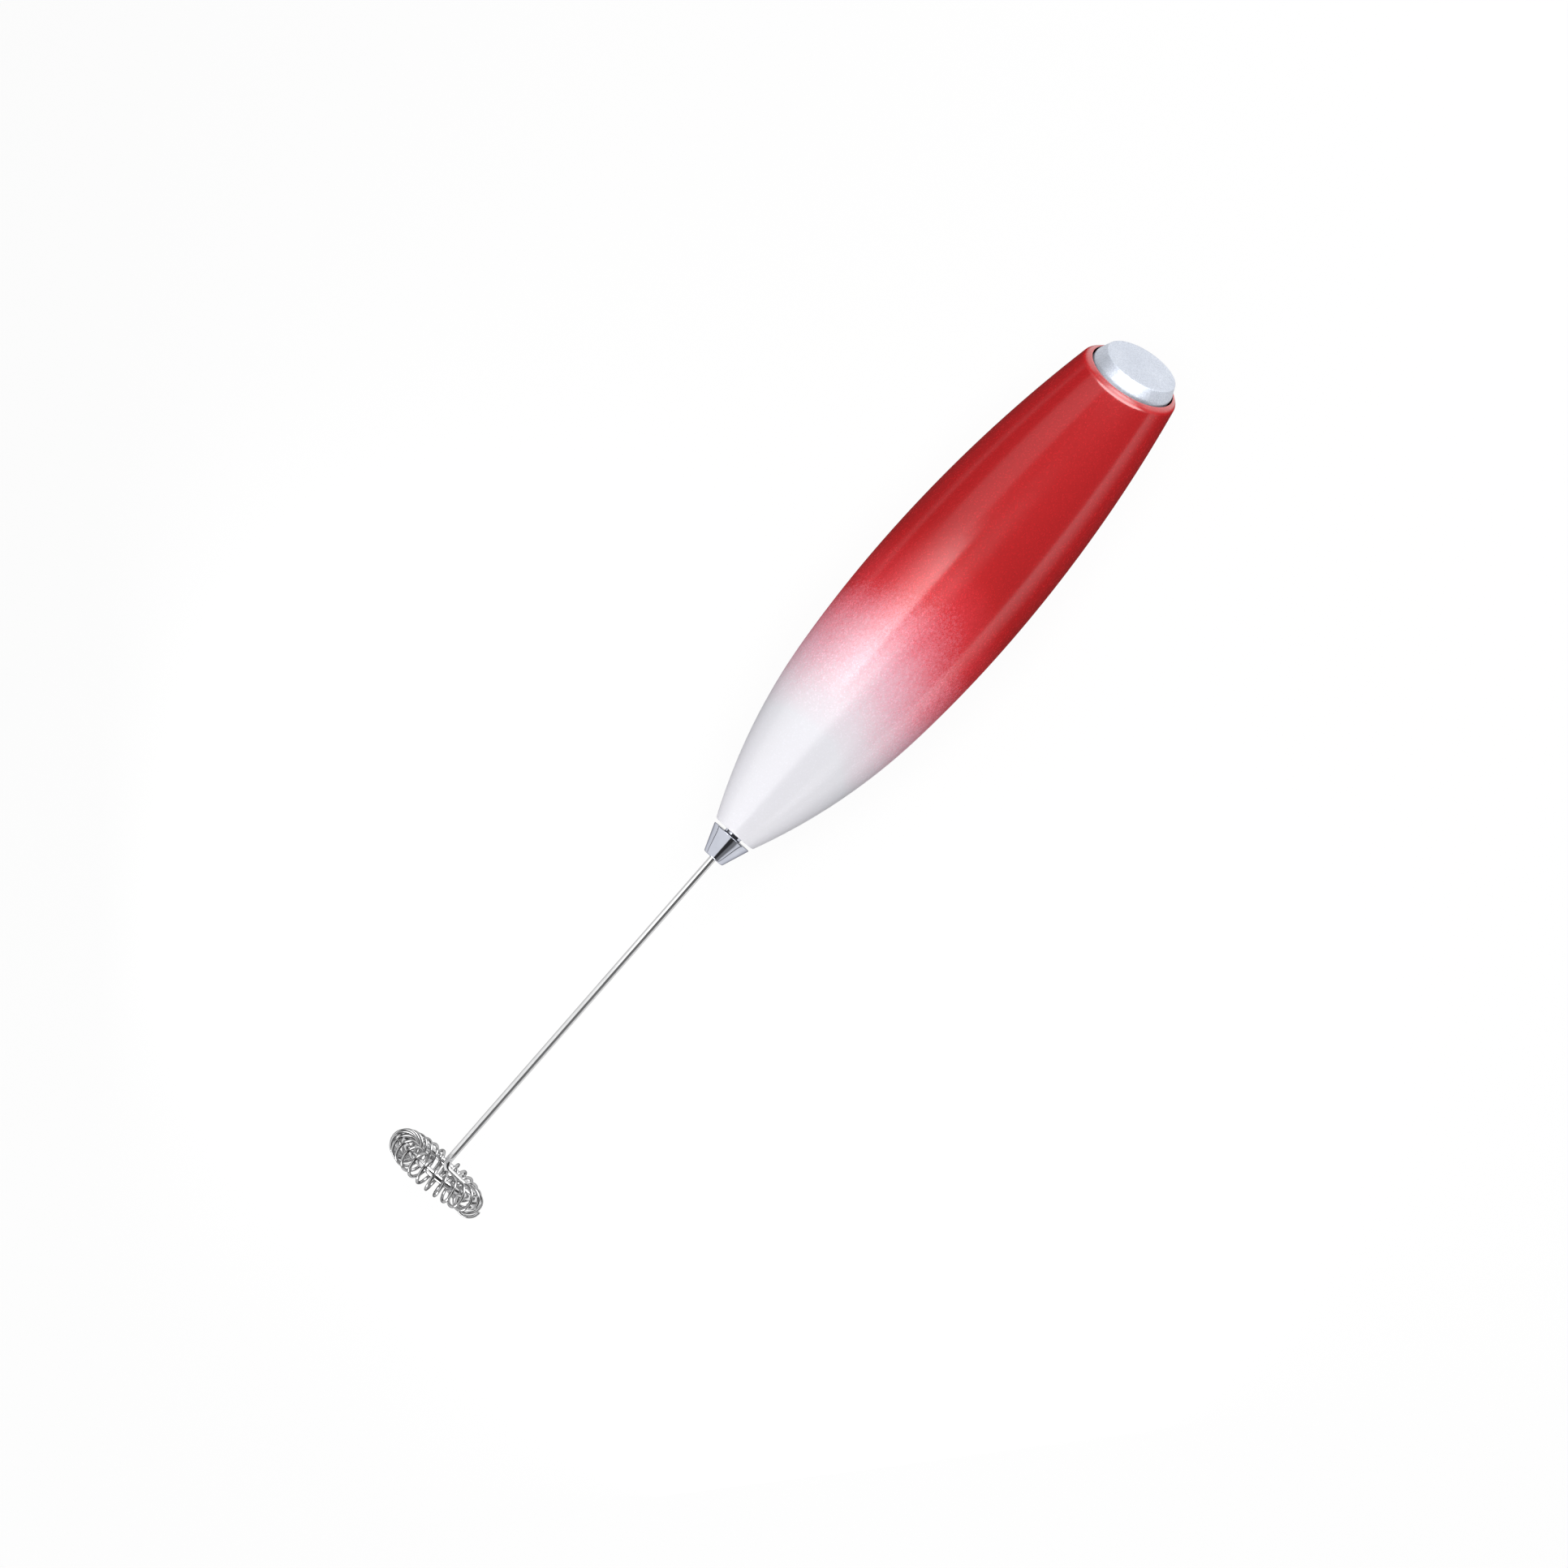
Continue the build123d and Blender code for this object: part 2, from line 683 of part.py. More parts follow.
with BuildPart() as motor_end_cap:
    with BuildSketch(square_to_axis(cap_start)):
        Circle(motor_radius)
        Rectangle(2 * motor_radius, 2 * motor_flat, mode=Mode.INTERSECT)
    extrude(amount=cap_length)
    with BuildSketch(square_to_axis(cap_start)):
        Circle(motor_radius - frame_wall)
        Rectangle(2 * motor_radius, 2 * (motor_flat - frame_wall), mode=Mode.INTERSECT)
    extrude(amount=cap_length - frame_wall, mode=Mode.SUBTRACT)
    with BuildSketch(square_to_axis(cap_start)):
        Circle(motor_bush_radius + fit_gap)
    extrude(amount=cap_length, mode=Mode.SUBTRACT)
    with BuildSketch(square_to_axis(cap_start)):
        with Locations((brush_root, tab_level), (-brush_root, tab_level)):
            Rectangle(brush_width + 2 * slot_gap, 3 * strip_thickness + 2 * slot_gap)
    extrude(amount=cap_length, mode=Mode.SUBTRACT)

motor_end_cap.part.label = "motor_end_cap"
export_step(motor_end_cap.part, "parts/motor_end_cap.step")

with BuildPart() as motor_magnets:
    with BuildSketch(square_to_axis(motor_front + can_wall + winding_overhang)):
        Circle(motor_radius - can_wall - fit_gap)
        Circle(motor_radius - can_wall - magnet_thickness, mode=Mode.SUBTRACT)
        Rectangle(2 * motor_radius, magnet_width, mode=Mode.INTERSECT)
    extrude(amount=magnet_length)

motor_magnets.part.label = "motor_magnets"
export_step(motor_magnets.part, "parts/motor_magnets.step")

for bush_name, station, length in (
    ("motor_front_bush", motor_plate, front_bush_length),
    ("motor_rear_bush", motor_back - rear_bush_length, rear_bush_length),
):
    with BuildPart() as motor_bush:
        with BuildSketch(square_to_axis(station)):
            Circle(motor_bush_radius)
            Circle(bush_bore, mode=Mode.SUBTRACT)
        extrude(amount=length)
    motor_bush.part.label = bush_name
    export_step(motor_bush.part, f"parts/{bush_name}.step")

# Brushes: a leaf beside the commutator that runs out to a terminal through the end cap
leaf_side = commutator_radius + seat_gap + strip_thickness / 2
terminal_level = tab_level - strip_thickness - fit_gap

with BuildPart() as motor_brushes:
    for side in (-1, 1):
        with BuildSketch(square_to_axis(brush_station)):
            with BuildLine():
                FilletPolyline(
                    (side * leaf_side, terminal_level - brush_length),
                    (side * leaf_side, terminal_level),
                    (side * (brush_root + brush_width / 2), terminal_level),
                    radius=strip_bend,
                )
            trace(line_width=strip_thickness)
        extrude(amount=brush_width)
        with BuildSketch(square_to_axis(brush_station)):
            with Locations((side * brush_root, terminal_level)):
                Rectangle(brush_width, strip_thickness)
        extrude(amount=motor_back + solder_overlap - brush_station)

motor_brushes.part.label = "motor_brushes"
export_step(motor_brushes.part, "parts/motor_brushes.step")

shaft_start = neck_end - shaft_grip

with BuildPart() as motor_shaft:
    with BuildSketch(square_to_axis(shaft_start)):
        Circle(motor_shaft_radius)
    extrude(amount=motor_back + seat_gap - shaft_start)
    chamfer(motor_shaft.edges().filter_by(GeomType.CIRCLE), shaft_edge)

motor_shaft.part.label = "motor_shaft"
export_step(motor_shaft.part, "parts/motor_shaft.step")

core_start = motor_front + core_setback
neck_middle = (hub_radius + core_radius - pole_head) / 2

with BuildPart() as armature_core:
    with BuildSketch(square_to_axis(core_start)):
        Circle(core_radius)
        Circle(core_radius - pole_head, mode=Mode.SUBTRACT)
        with PolarLocations(core_radius, pole_count, start_angle=180 / pole_count):
            Rectangle(3 * pole_head, pole_slot, mode=Mode.SUBTRACT)
        Circle(hub_radius)
        with PolarLocations(neck_middle, pole_count):
            Rectangle(core_radius - hub_radius, pole_width)
        Circle(motor_shaft_radius + fit_gap, mode=Mode.SUBTRACT)
    extrude(amount=core_length)

armature_core.part.label = "armature_core"
export_step(armature_core.part, "parts/armature_core.step")

winding_half = pole_width / 2 + winding_width
winding_top = math.sqrt((core_radius - pole_head - seat_gap) ** 2 - winding_half**2)
winding_height = winding_top - hub_radius - seat_gap
winding_middle = winding_top - winding_height / 2

with BuildPart() as armature_windings:
    with BuildSketch(square_to_axis(core_start - winding_overhang)):
        with PolarLocations(winding_middle, pole_count):
            Rectangle(winding_height, 2 * winding_half)
    extrude(amount=core_length + 2 * winding_overhang)
    with BuildSketch(square_to_axis(core_start - fit_gap)):
        with PolarLocations(winding_middle, pole_count):
            Rectangle(2 * winding_height, pole_width + 2 * fit_gap)
    extrude(amount=core_length + 2 * fit_gap, mode=Mode.SUBTRACT)

armature_windings.part.label = "armature_windings"
export_step(armature_windings.part, "parts/armature_windings.step")

with BuildPart() as commutator:
    with BuildSketch(square_to_axis(motor_back - rear_bush_length - seat_gap - commutator_length)):
        Circle(commutator_radius)
        Circle(motor_shaft_radius + fit_gap, mode=Mode.SUBTRACT)
        with PolarLocations(commutator_radius, pole_count, start_angle=180 / pole_count):
            Rectangle(2 * segment_depth, segment_slot, mode=Mode.SUBTRACT)
    extrude(amount=commutator_length)

commutator.part.label = "commutator"
export_step(commutator.part, "parts/commutator.step")

# Nose bush and collar

with BuildPart() as nose_bush:
    with BuildSketch(square_to_axis(bush_start)):
        Circle(neck_radius + running_gap + bush_wall)
        Circle(neck_radius + running_gap, mode=Mode.SUBTRACT)
    extrude(amount=bush_length)

nose_bush.part.label = "nose_bush"
export_step(nose_bush.part, "parts/nose_bush.step")

with BuildPart() as drive_collar:
    with BuildSketch(Plane.XZ) as collar_profile:
        with BuildLine():
            Polyline(
                (cone_tip, 0),
                (cone_tip, cone_tip_radius),
                (cone_top, cone_top_radius),
                (cone_top, neck_radius),
                (neck_end, neck_radius),
                (neck_end, 0),
                close=True,
            )
        make_face()
        fillet(collar_profile.vertices().sort_by(Axis.Z)[-2:], cone_edge)
    revolve(axis=Axis.X)
    with BuildSketch(square_to_axis(neck_end)):
        Circle(motor_shaft_radius + fit_gap)
    extrude(amount=-shaft_grip - seat_gap, mode=Mode.SUBTRACT)
    with BuildSketch(square_to_axis(cone_tip)):
        Circle(wire_radius + fit_gap)
    extrude(amount=wire_grip + seat_gap, mode=Mode.SUBTRACT)

drive_collar.part.label = "drive_collar"
export_step(drive_collar.part, "parts/drive_collar.step")

# Whisk


def biarc(start, start_way, end, end_way):
    """Two arcs that run from start to end and meet tangentially, with the given ways at the ends."""
    chord = end - start
    ways = start_way + end_way
    spread = 2 * (1 - start_way.dot(end_way))
    along = chord.dot(ways)
    reach = (math.sqrt(along**2 + spread * chord.dot(chord)) - along) / spread
    middle = (start + end + (start_way - end_way) * reach) * 0.5
    first_arc = TangentArc(start, middle, tangent=start_way)
    TangentArc(middle, end, tangent=first_arc % 1)


def ring_point(turn):
    """Centre line of the ring at a turn in radians, from the arm on the -Y side round by the front."""
    station = arm_station - ring_pitch * turn / (2 * math.pi)
    return Vector(station, -ring_radius * math.cos(turn), ring_radius * math.sin(turn))


def ring_way(turn):
    """Direction of the ring's centre line."""
    fall = ring_pitch / (2 * math.pi)
    way = Vector(-fall, ring_radius * math.sin(turn), ring_radius * math.cos(turn))
    return way.normalized()


coil_sweep = math.radians(coil_end - coil_start)
coil_slack = coil_radius - coil_wire_radius - wire_radius - coil_seat
coil_draw = coil_slack * math.cos(math.radians(coil_lean))
coil_hang = coil_slack * math.sin(math.radians(coil_lean))


def coil_point(share):
    """Centre line of the coil's wire, from share 0 at one end to 1 at the other."""
    turn = math.radians(coil_start) + share * coil_sweep
    curl = 2 * math.pi * coil_turns * share
    outward = Vector(0, -math.cos(turn), math.sin(turn))
    middle = ring_point(turn) - outward * coil_draw - Vector(coil_hang, 0, 0)
    return middle + outward * (coil_radius * math.cos(curl)) + Vector(coil_radius * math.sin(curl), 0, 0)


def coil_way(share):
    """Direction of the coil's wire."""
    step = 1e-5
    return (coil_point(share + step) - coil_point(share - step)).normalized()


def least_gap(points, skip, thickness):
    """Least gap of a tube to itself, between points at least skip apart along it."""
    least = math.inf
    for first in range(len(points)):
        for second in range(first + skip, len(points)):
            least = min(least, (points[first] - points[second]).length)
    return least - thickness


wire_end = cone_tip + wire_grip
ring_turn = 2 * math.pi + math.radians(ring_overlap)
bend_turn = arm_bend_radius / ring_radius
quarter_count = 4
quarter_turn = (ring_turn - bend_turn) / quarter_count

with BuildPart() as whisk_wire:
    with BuildLine() as wire_path:
        Line((wire_end, 0, 0), (arm_station + elbow_radius, 0, 0))
        TangentArc(
            (arm_station + elbow_radius, 0, 0), (arm_station, -elbow_radius, 0), tangent=(-1, 0, 0)
        )
        arm_end = Vector(arm_station, arm_bend_radius - ring_radius, 0)
        Line((arm_station, -elbow_radius, 0), arm_end)
        biarc(arm_end, Vector(0, -1, 0), ring_point(bend_turn), ring_way(bend_turn))
        turns = [bend_turn + quarter_turn * step for step in range(quarter_count + 1)]
        for first, second in zip(turns, turns[1:]):
            biarc(ring_point(first), ring_way(first), ring_point(second), ring_way(second))
    with BuildSketch(Plane(origin=(wire_end, 0, 0), z_dir=(-1, 0, 0))):
        Circle(wire_radius)
    sweep(path=wire_path.wires()[0])

whisk_wire.part.label = "whisk_wire"
export_step(whisk_wire.part, "parts/whisk_wire.step")

half_turns = 2 * coil_turns

with BuildPart() as whisk_coil:
    with BuildLine() as coil_path:
        for half in range(half_turns):
            first = half / half_turns
            second = (half + 1) / half_turns
            biarc(coil_point(first), coil_way(first), coil_point(second), coil_way(second))
    with BuildSketch(Plane(origin=coil_point(0), z_dir=coil_way(0))):
        Circle(coil_wire_radius)
    sweep(path=coil_path.wires()[0])

whisk_coil.part.label = "whisk_coil"
export_step(whisk_coil.part, "parts/whisk_coil.step")

sample_count = coil_turns * gap_samples
coil_samples = [coil_point(step / sample_count) for step in range(sample_count + 1)]
coil_gap = least_gap(coil_samples, gap_samples // 2, 2 * coil_wire_radius)
ring_samples = [ring_point(ring_turn * step / gap_samples) for step in range(gap_samples + 1)]
ring_gap = least_gap(ring_samples, gap_samples // 2, 2 * wire_radius)
print(f"least gap of the coil to itself {coil_gap:.2f} mm, of the ring to itself {ring_gap:.2f} mm")
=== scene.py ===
import math

import bmesh
import bpy
from mathutils import Matrix, Vector


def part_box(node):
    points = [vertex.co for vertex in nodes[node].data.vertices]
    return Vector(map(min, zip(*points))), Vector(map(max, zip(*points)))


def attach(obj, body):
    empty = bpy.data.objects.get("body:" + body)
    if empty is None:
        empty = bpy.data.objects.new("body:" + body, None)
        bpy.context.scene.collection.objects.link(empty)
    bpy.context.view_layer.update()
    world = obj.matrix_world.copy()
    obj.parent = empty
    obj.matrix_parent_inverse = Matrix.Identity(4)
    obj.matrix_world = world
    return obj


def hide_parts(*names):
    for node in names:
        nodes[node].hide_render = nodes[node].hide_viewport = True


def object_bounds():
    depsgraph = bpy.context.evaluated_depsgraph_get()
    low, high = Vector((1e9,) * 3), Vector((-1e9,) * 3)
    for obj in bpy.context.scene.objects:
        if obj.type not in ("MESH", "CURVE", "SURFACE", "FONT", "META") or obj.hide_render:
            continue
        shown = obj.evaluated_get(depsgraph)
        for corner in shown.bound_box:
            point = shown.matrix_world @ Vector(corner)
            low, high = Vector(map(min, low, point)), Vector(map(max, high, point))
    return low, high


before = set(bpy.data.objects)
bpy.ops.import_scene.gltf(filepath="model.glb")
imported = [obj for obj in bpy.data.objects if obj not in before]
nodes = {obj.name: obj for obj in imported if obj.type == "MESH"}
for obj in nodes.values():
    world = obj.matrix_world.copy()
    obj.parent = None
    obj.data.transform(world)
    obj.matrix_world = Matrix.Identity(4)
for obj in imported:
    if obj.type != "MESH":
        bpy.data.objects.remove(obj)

cad_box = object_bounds()

# Sizes shared with the CAD model, in millimetres
MM = 0.001
WALL = 1.5
NOSE_RADIUS = 5.3
NOSE_EDGE = 0.5
NOSE_HOLE = 2.7
BELLY_STATION = 70.0
FLANK_LENGTH = 28.6
FLANK_CURVE = 279.0
CELL_LENGTH = 50.5
CELL_RADIUS = 7.1
CELL_SIDE = 7.2
CELL_DROP = 1.5
BELLY_ROOM = 2.0
RIM_RADIUS = 11.4
RIM_BAND = 1.35
RIM_BEVEL_WIDTH = 1.0
RIM_BEVEL_DROP = 1.0
SLOPE = math.tan(math.radians(33.0))
CROWN_HEIGHT = 6.5
SEAM_GAP = 0.2
FRONT_LIP = 5.8
BUTTON_GAP = 0.4
BUTTON_PROUD = 3.0
BUTTON_WALL = 1.4
BUTTON_BEVEL_WIDTH = 1.2
BUTTON_BEVEL_DROP = 2.6
FLANGE_WIDTH = 0.5
FLANGE_THICKNESS = 1.2
SEAT_GAP = 0.1

BELLY_RADIUS = math.hypot(CELL_SIDE, CELL_DROP) + CELL_RADIUS + BELLY_ROOM + WALL
FLANK_ANGLE = math.asin(FLANK_LENGTH / FLANK_CURVE)
FLANK_CENTRE = (BELLY_STATION, BELLY_RADIUS - FLANK_CURVE)
SHOULDER_STATION = BELLY_STATION - FLANK_LENGTH
SHOULDER_RADIUS = FLANK_CENTRE[1] + FLANK_CURVE * math.cos(FLANK_ANGLE)
NOSE_RISE = SHOULDER_RADIUS - NOSE_RADIUS
NOSE_CURVE = (SHOULDER_STATION**2 + NOSE_RISE**2) / (
    2 * (NOSE_RISE * math.cos(FLANK_ANGLE) - SHOULDER_STATION * math.sin(FLANK_ANGLE))
)
NOSE_CENTRE = (
    SHOULDER_STATION + NOSE_CURVE * math.sin(FLANK_ANGLE),
    SHOULDER_RADIUS - NOSE_CURVE * math.cos(FLANK_ANGLE),
)

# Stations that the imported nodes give
FLANGE_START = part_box("button_cap")[0].x / MM
LIP_STATION = FLANGE_START + FLANGE_THICKNESS + SEAT_GAP
RIM_STATION = LIP_STATION + FRONT_LIP + SLOPE * RIM_RADIUS
COVER_END = RIM_STATION - CROWN_HEIGHT
CROWN_RUN = RIM_STATION - BELLY_STATION
CROWN_FALL = BELLY_RADIUS - RIM_RADIUS
CROWN_CURVE = (CROWN_RUN**2 + CROWN_FALL**2) / (2 * CROWN_FALL)
CROWN_CENTRE = (BELLY_STATION, BELLY_RADIUS - CROWN_CURVE)


def radius_at(station, inset=0.0):
    """Radius of the handle at a station, moved in by inset."""
    if station > BELLY_STATION:
        centre, curve = CROWN_CENTRE, CROWN_CURVE
    elif station > SHOULDER_STATION:
        centre, curve = FLANK_CENTRE, FLANK_CURVE
    else:
        centre, curve = NOSE_CENTRE, NOSE_CURVE
    return centre[1] + math.sqrt((curve - inset) ** 2 - (station - centre[0]) ** 2)


def rim_point(turn):
    """Station and radius where the outside meets the slanted rim plane."""
    radius = RIM_RADIUS
    for _ in range(40):
        radius = radius_at(RIM_STATION - SLOPE * radius * math.sin(turn))
    return RIM_STATION - SLOPE * radius * math.sin(turn), radius


RIM_FRONT = rim_point(math.pi / 2)[1]
RIM_BACK = rim_point(-math.pi / 2)[1]
BUTTON_SHIFT = (RIM_FRONT - RIM_BACK) / 2
OPENING_RADIUS = (RIM_FRONT + RIM_BACK) / 2 - RIM_BAND
BUTTON_RADIUS = OPENING_RADIUS - BUTTON_GAP


# Mesh helpers

MERGE_WITHIN = 1e-7  # points closer than this become one, in metres
TOO_SHORT = 1e-8  # edges shorter than this are dissolved, in metres
DOME_STEPS = 6  # rings over a wire's domed end
DOME_TURNS = [math.pi / 2 * step / DOME_STEPS for step in range(DOME_STEPS)]
DOME = [(math.sin(turn), math.cos(turn)) for turn in DOME_TURNS]


def added(name, data):
    """New object in the scene."""
    obj = bpy.data.objects.new(name, data)
    bpy.context.scene.collection.objects.link(obj)
    return obj


def make_object(name, shape, material, body, replaced, crease=40.0):
    """Object from points in millimetres and faces, riding on a body, in place of a CAD node."""
    points, faces = shape
    mesh = bpy.data.meshes.new(name)
    mesh.from_pydata([(p[0] * MM, p[1] * MM, p[2] * MM) for p in points], [], faces)
    work = bmesh.new()
    work.from_mesh(mesh)
    bmesh.ops.remove_doubles(work, verts=work.verts, dist=MERGE_WITHIN)
    bmesh.ops.dissolve_degenerate(work, edges=work.edges, dist=TOO_SHORT)
    bmesh.ops.recalc_face_normals(work, faces=work.faces)
    work.to_mesh(mesh)
    work.free()
    mesh.shade_smooth()
    mesh.set_sharp_from_angle(angle=math.radians(crease))
    mesh.materials.append(material)
    obj = added(name, mesh)
    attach(obj, body)
    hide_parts(replaced)


def grid_faces(first, rows, columns, close_rows=False, close_columns=False):
    """Quads over a grid of points whose first index is given."""
    faces = []
    row_steps = rows if close_rows else rows - 1
    column_steps = columns if close_columns else columns - 1
    for row in range(row_steps):
        below = first + row * columns
        above = first + ((row + 1) % rows) * columns
        for column in range(column_steps):
            after = (column + 1) % columns
            faces.append((below + column, below + after, above + after, above + column))
    return faces


def add_prism(points, faces, low, high):
    """Add a solid between two rings of points, closed at both ends."""
    first, size = len(points), len(low)
    points += low + high
    faces += grid_faces(first, 2, size, close_columns=True)
    faces.append([first + index for index in range(size)])
    faces.append([first + size + index for index in range(size)])


def polar(station, radius, turn, shift=0.0):
    """Point at a station, at a radius and turn about the axis, or about a line shifted to the front."""
    return (station, radius * math.cos(turn), shift + radius * math.sin(turn))


def turns(count):
    """Even turns about an axis."""
    return [2 * math.pi * step / count for step in range(count)]


def rounded(corner, before, after, size, steps=4):
    """Points that round a corner of a profile off, between its neighbours."""
    corner, before, after = Vector(corner), Vector(before), Vector(after)
    start = corner + (before - corner).normalized() * size
    end = corner + (after - corner).normalized() * size
    points = []
    for share in (step / steps for step in range(steps + 1)):
        point = start * (1 - share) ** 2 + corner * (2 * share * (1 - share)) + end * share**2
        points.append(tuple(point))
    return points


def profile(corners, roundings):
    """Profile through corners, each rounded off by its own size where that is over zero."""
    points = []
    for index, (corner, size) in enumerate(zip(corners, roundings)):
        if size > 0:
            points += rounded(corner, corners[index - 1], corners[index + 1], size)
        else:
            points.append(corner)
    return points


def divided(points, longest):
    """Profile with its long runs divided."""
    result = [points[0]]
    for start, end in zip(points, points[1:]):
        count = max(1, math.ceil(math.dist(start, end) / longest))
        for step in range(1, count + 1):
            share = step / count
            result.append(tuple(a + (b - a) * share for a, b in zip(start, end)))
    return result


def lathe(points, steps):
    """Points and faces of a profile of (station, radius) turned about the axis."""
    turned = [polar(x, r, turn) for turn in turns(steps) for x, r in points]
    return turned, grid_faces(0, steps, len(points), close_rows=True)


def tube(path, radius, sides):
    """Points and faces of a round wire along a path, with domed ends."""
    ways = []
    for index in range(len(path)):
        before = path[max(index - 1, 0)]
        after = path[min(index + 1, len(path) - 1)]
        ways.append((after - before).normalized())
    across = ways[0].orthogonal().normalized()
    rows = []
    for point, way in zip(path, ways):
        across = (across - way * across.dot(way)).normalized()
        rows.append((point, way, across.copy()))
    start, start_way, start_side = rows[0]
    end, end_way, end_side = rows[-1]
    rings = [(start - start_way * (radius * s), start_way, start_side, c) for s, c in reversed(DOME)]
    rings += [(*row, 1.0) for row in rows[1:-1]]
    rings += [(end + end_way * (radius * s), end_way, end_side, c) for s, c in DOME]
    points = []
    for point, way, side, share in rings:
        other = way.cross(side)
        for turn in turns(sides):
            offset = side * math.cos(turn) + other * math.sin(turn)
            points.append(tuple(point + offset * (radius * share)))
    faces = grid_faces(0, len(rings), sides, close_columns=True)
    tip, tail = len(points), len(points) + 1
    points.append(tuple(start - start_way * radius))
    points.append(tuple(end + end_way * radius))
    last = (len(rings) - 1) * sides
    for step in range(sides):
        after = (step + 1) % sides
        faces.append((tip, after, step))
        faces.append((tail, last + step, last + after))
    return points, faces


# Material helpers


class Nodes:
    """Short calls for the nodes used here, in one node tree."""

    def __init__(self, tree, place):
        self.tree = tree
        self.place = self.node("ShaderNodeTexCoord").outputs[place]

    def node(self, kind, **settings):
        made = self.tree.nodes.new(kind)
        for key, value in settings.items():
            setattr(made, key, value)
        return made

    def put(self, socket, value):
        """Link a socket to an output, or set it to a plain value."""
        if hasattr(value, "is_output"):
            self.tree.links.new(value, socket)
        else:
            socket.default_value = value

    def set(self, made, **values):
        for key, value in values.items():
            self.put(made.inputs[key], value)

    def noise(self, scale, detail=2.0, roughness=0.5, place=None):
        made = self.node("ShaderNodeTexNoise")
        self.set(made, Vector=place or self.place, Scale=scale, Detail=detail, Roughness=roughness)
        return made.outputs["Fac"]

    def cells(self, scale):
        made = self.node("ShaderNodeTexVoronoi")
        self.set(made, Vector=self.place, Scale=scale)
        return made.outputs["Color"]

    def waves(self, way, scale, distortion, detail=2.0):
        made = self.node("ShaderNodeTexWave", bands_direction=way)
        self.set(made, Vector=self.place, Scale=scale, Distortion=distortion, Detail=detail)
        return made.outputs["Fac"]

    def stretch(self, x, y, z):
        made = self.node("ShaderNodeMapping")
        self.set(made, Vector=self.place, Scale=(x, y, z))
        return made.outputs["Vector"]

    def axis(self, which, place=None):
        made = self.node("ShaderNodeSeparateXYZ")
        self.put(made.inputs[0], place or self.place)
        return made.outputs[which]

    def math(self, operation, first, second=0.0, third=0.0, clamp=False):
        made = self.node("ShaderNodeMath", operation=operation, use_clamp=clamp)
        for socket, value in zip(made.inputs, (first, second, third)):
            self.put(socket, value)
        return made.outputs[0]

    def times(self, first, second, plus=None):
        if plus is None:
            return self.math("MULTIPLY", first, second)
        return self.math("MULTIPLY_ADD", first, second, plus)

    def minus(self, first, second):
        return self.math("SUBTRACT", first, second)

    def span(self, value, low, high, to_low=0.0, to_high=1.0, smooth=False):
        made = self.node("ShaderNodeMapRange")
        made.interpolation_type = "SMOOTHSTEP" if smooth else "LINEAR"
        for socket, entry in zip(made.inputs, (value, low, high, to_low, to_high)):
            self.put(socket, entry)
        return made.outputs[0]

    def ramp(self, value, stops, interpolation="LINEAR"):
        made = self.node("ShaderNodeValToRGB")
        made.color_ramp.interpolation = interpolation
        entries = made.color_ramp.elements
        while len(entries) < len(stops):
            entries.new(0.5)
        for entry, (position, colour) in zip(entries, stops):
            entry.position = position
            entry.color = (*colour, 1.0)
        self.put(made.inputs[0], value)
        return made.outputs[0]

    def mix(self, share, first, second, blend="MIX"):
        made = self.node("ShaderNodeMix", data_type="RGBA", blend_type=blend)
        # The colours' sockets come after those for numbers and vectors
        for index, value in ((0, share), (6, first), (7, second)):
            self.put(made.inputs[index], (*value, 1.0) if isinstance(value, tuple) else value)
        return made.outputs[2]

    def bump(self, height, strength, distance):
        made = self.node("ShaderNodeBump")
        self.set(made, Height=height, Strength=strength, Distance=distance)
        return made.outputs["Normal"]

    def off_axis(self, shift):
        """Distance from the axis, or from a line shifted to the front."""
        front = self.math("POWER", self.minus(self.axis("Z"), shift), 2.0)
        return self.math("SQRT", self.times(self.axis("Y"), self.axis("Y"), front))

    def along(self, way):
        """How far a place or direction reaches along a given way."""
        made = self.node("ShaderNodeVectorMath", operation="DOT_PRODUCT")
        self.put(made.inputs[0], self.place)
        self.put(made.inputs[1], way)
        return made.outputs["Value"]

    def seen_rays(self, *kinds):
        """One for rays of the given kinds, none for the light on matt surfaces."""
        path = self.node("ShaderNodeLightPath").outputs
        seen = path[f"Is {kinds[0]} Ray"]
        for kind in kinds[1:]:
            seen = self.math("ADD", seen, path[f"Is {kind} Ray"], clamp=True)
        return seen


class Shader(Nodes):
    """A node material with a principled shader."""

    def __init__(self, name, **values):
        self.material = bpy.data.materials.new(name)
        self.material.use_nodes = True
        super().__init__(self.material.node_tree, "Object")
        self.main = self.tree.nodes["Principled BSDF"]
        for socket, value in values.items():
            self.feed(socket.replace("_", " "), value)

    def feed(self, socket, value):
        self.put(self.main.inputs[socket], value)

    def two_tone(self, value, dark, light, low=0.3, high=0.7):
        """Base colour between two screen colours."""
        self.feed("Base Color", self.ramp(value, [(low, linear(*dark)), (high, linear(*light))]))


def linear(*screen):
    """Linear colour from screen values of 0 to 255."""
    shares = [value / 255 for value in screen]
    return tuple(s / 12.92 if s <= 0.04045 else ((s + 0.055) / 1.055) ** 2.4 for s in shares)


EDGE_TINT = (0.3, 0.3, 0.32, 1.0)  # plating's reflection at a glancing angle
BARE_EDGE_TINT = (0.12, 0.12, 0.12, 1.0)  # the same of bare metal

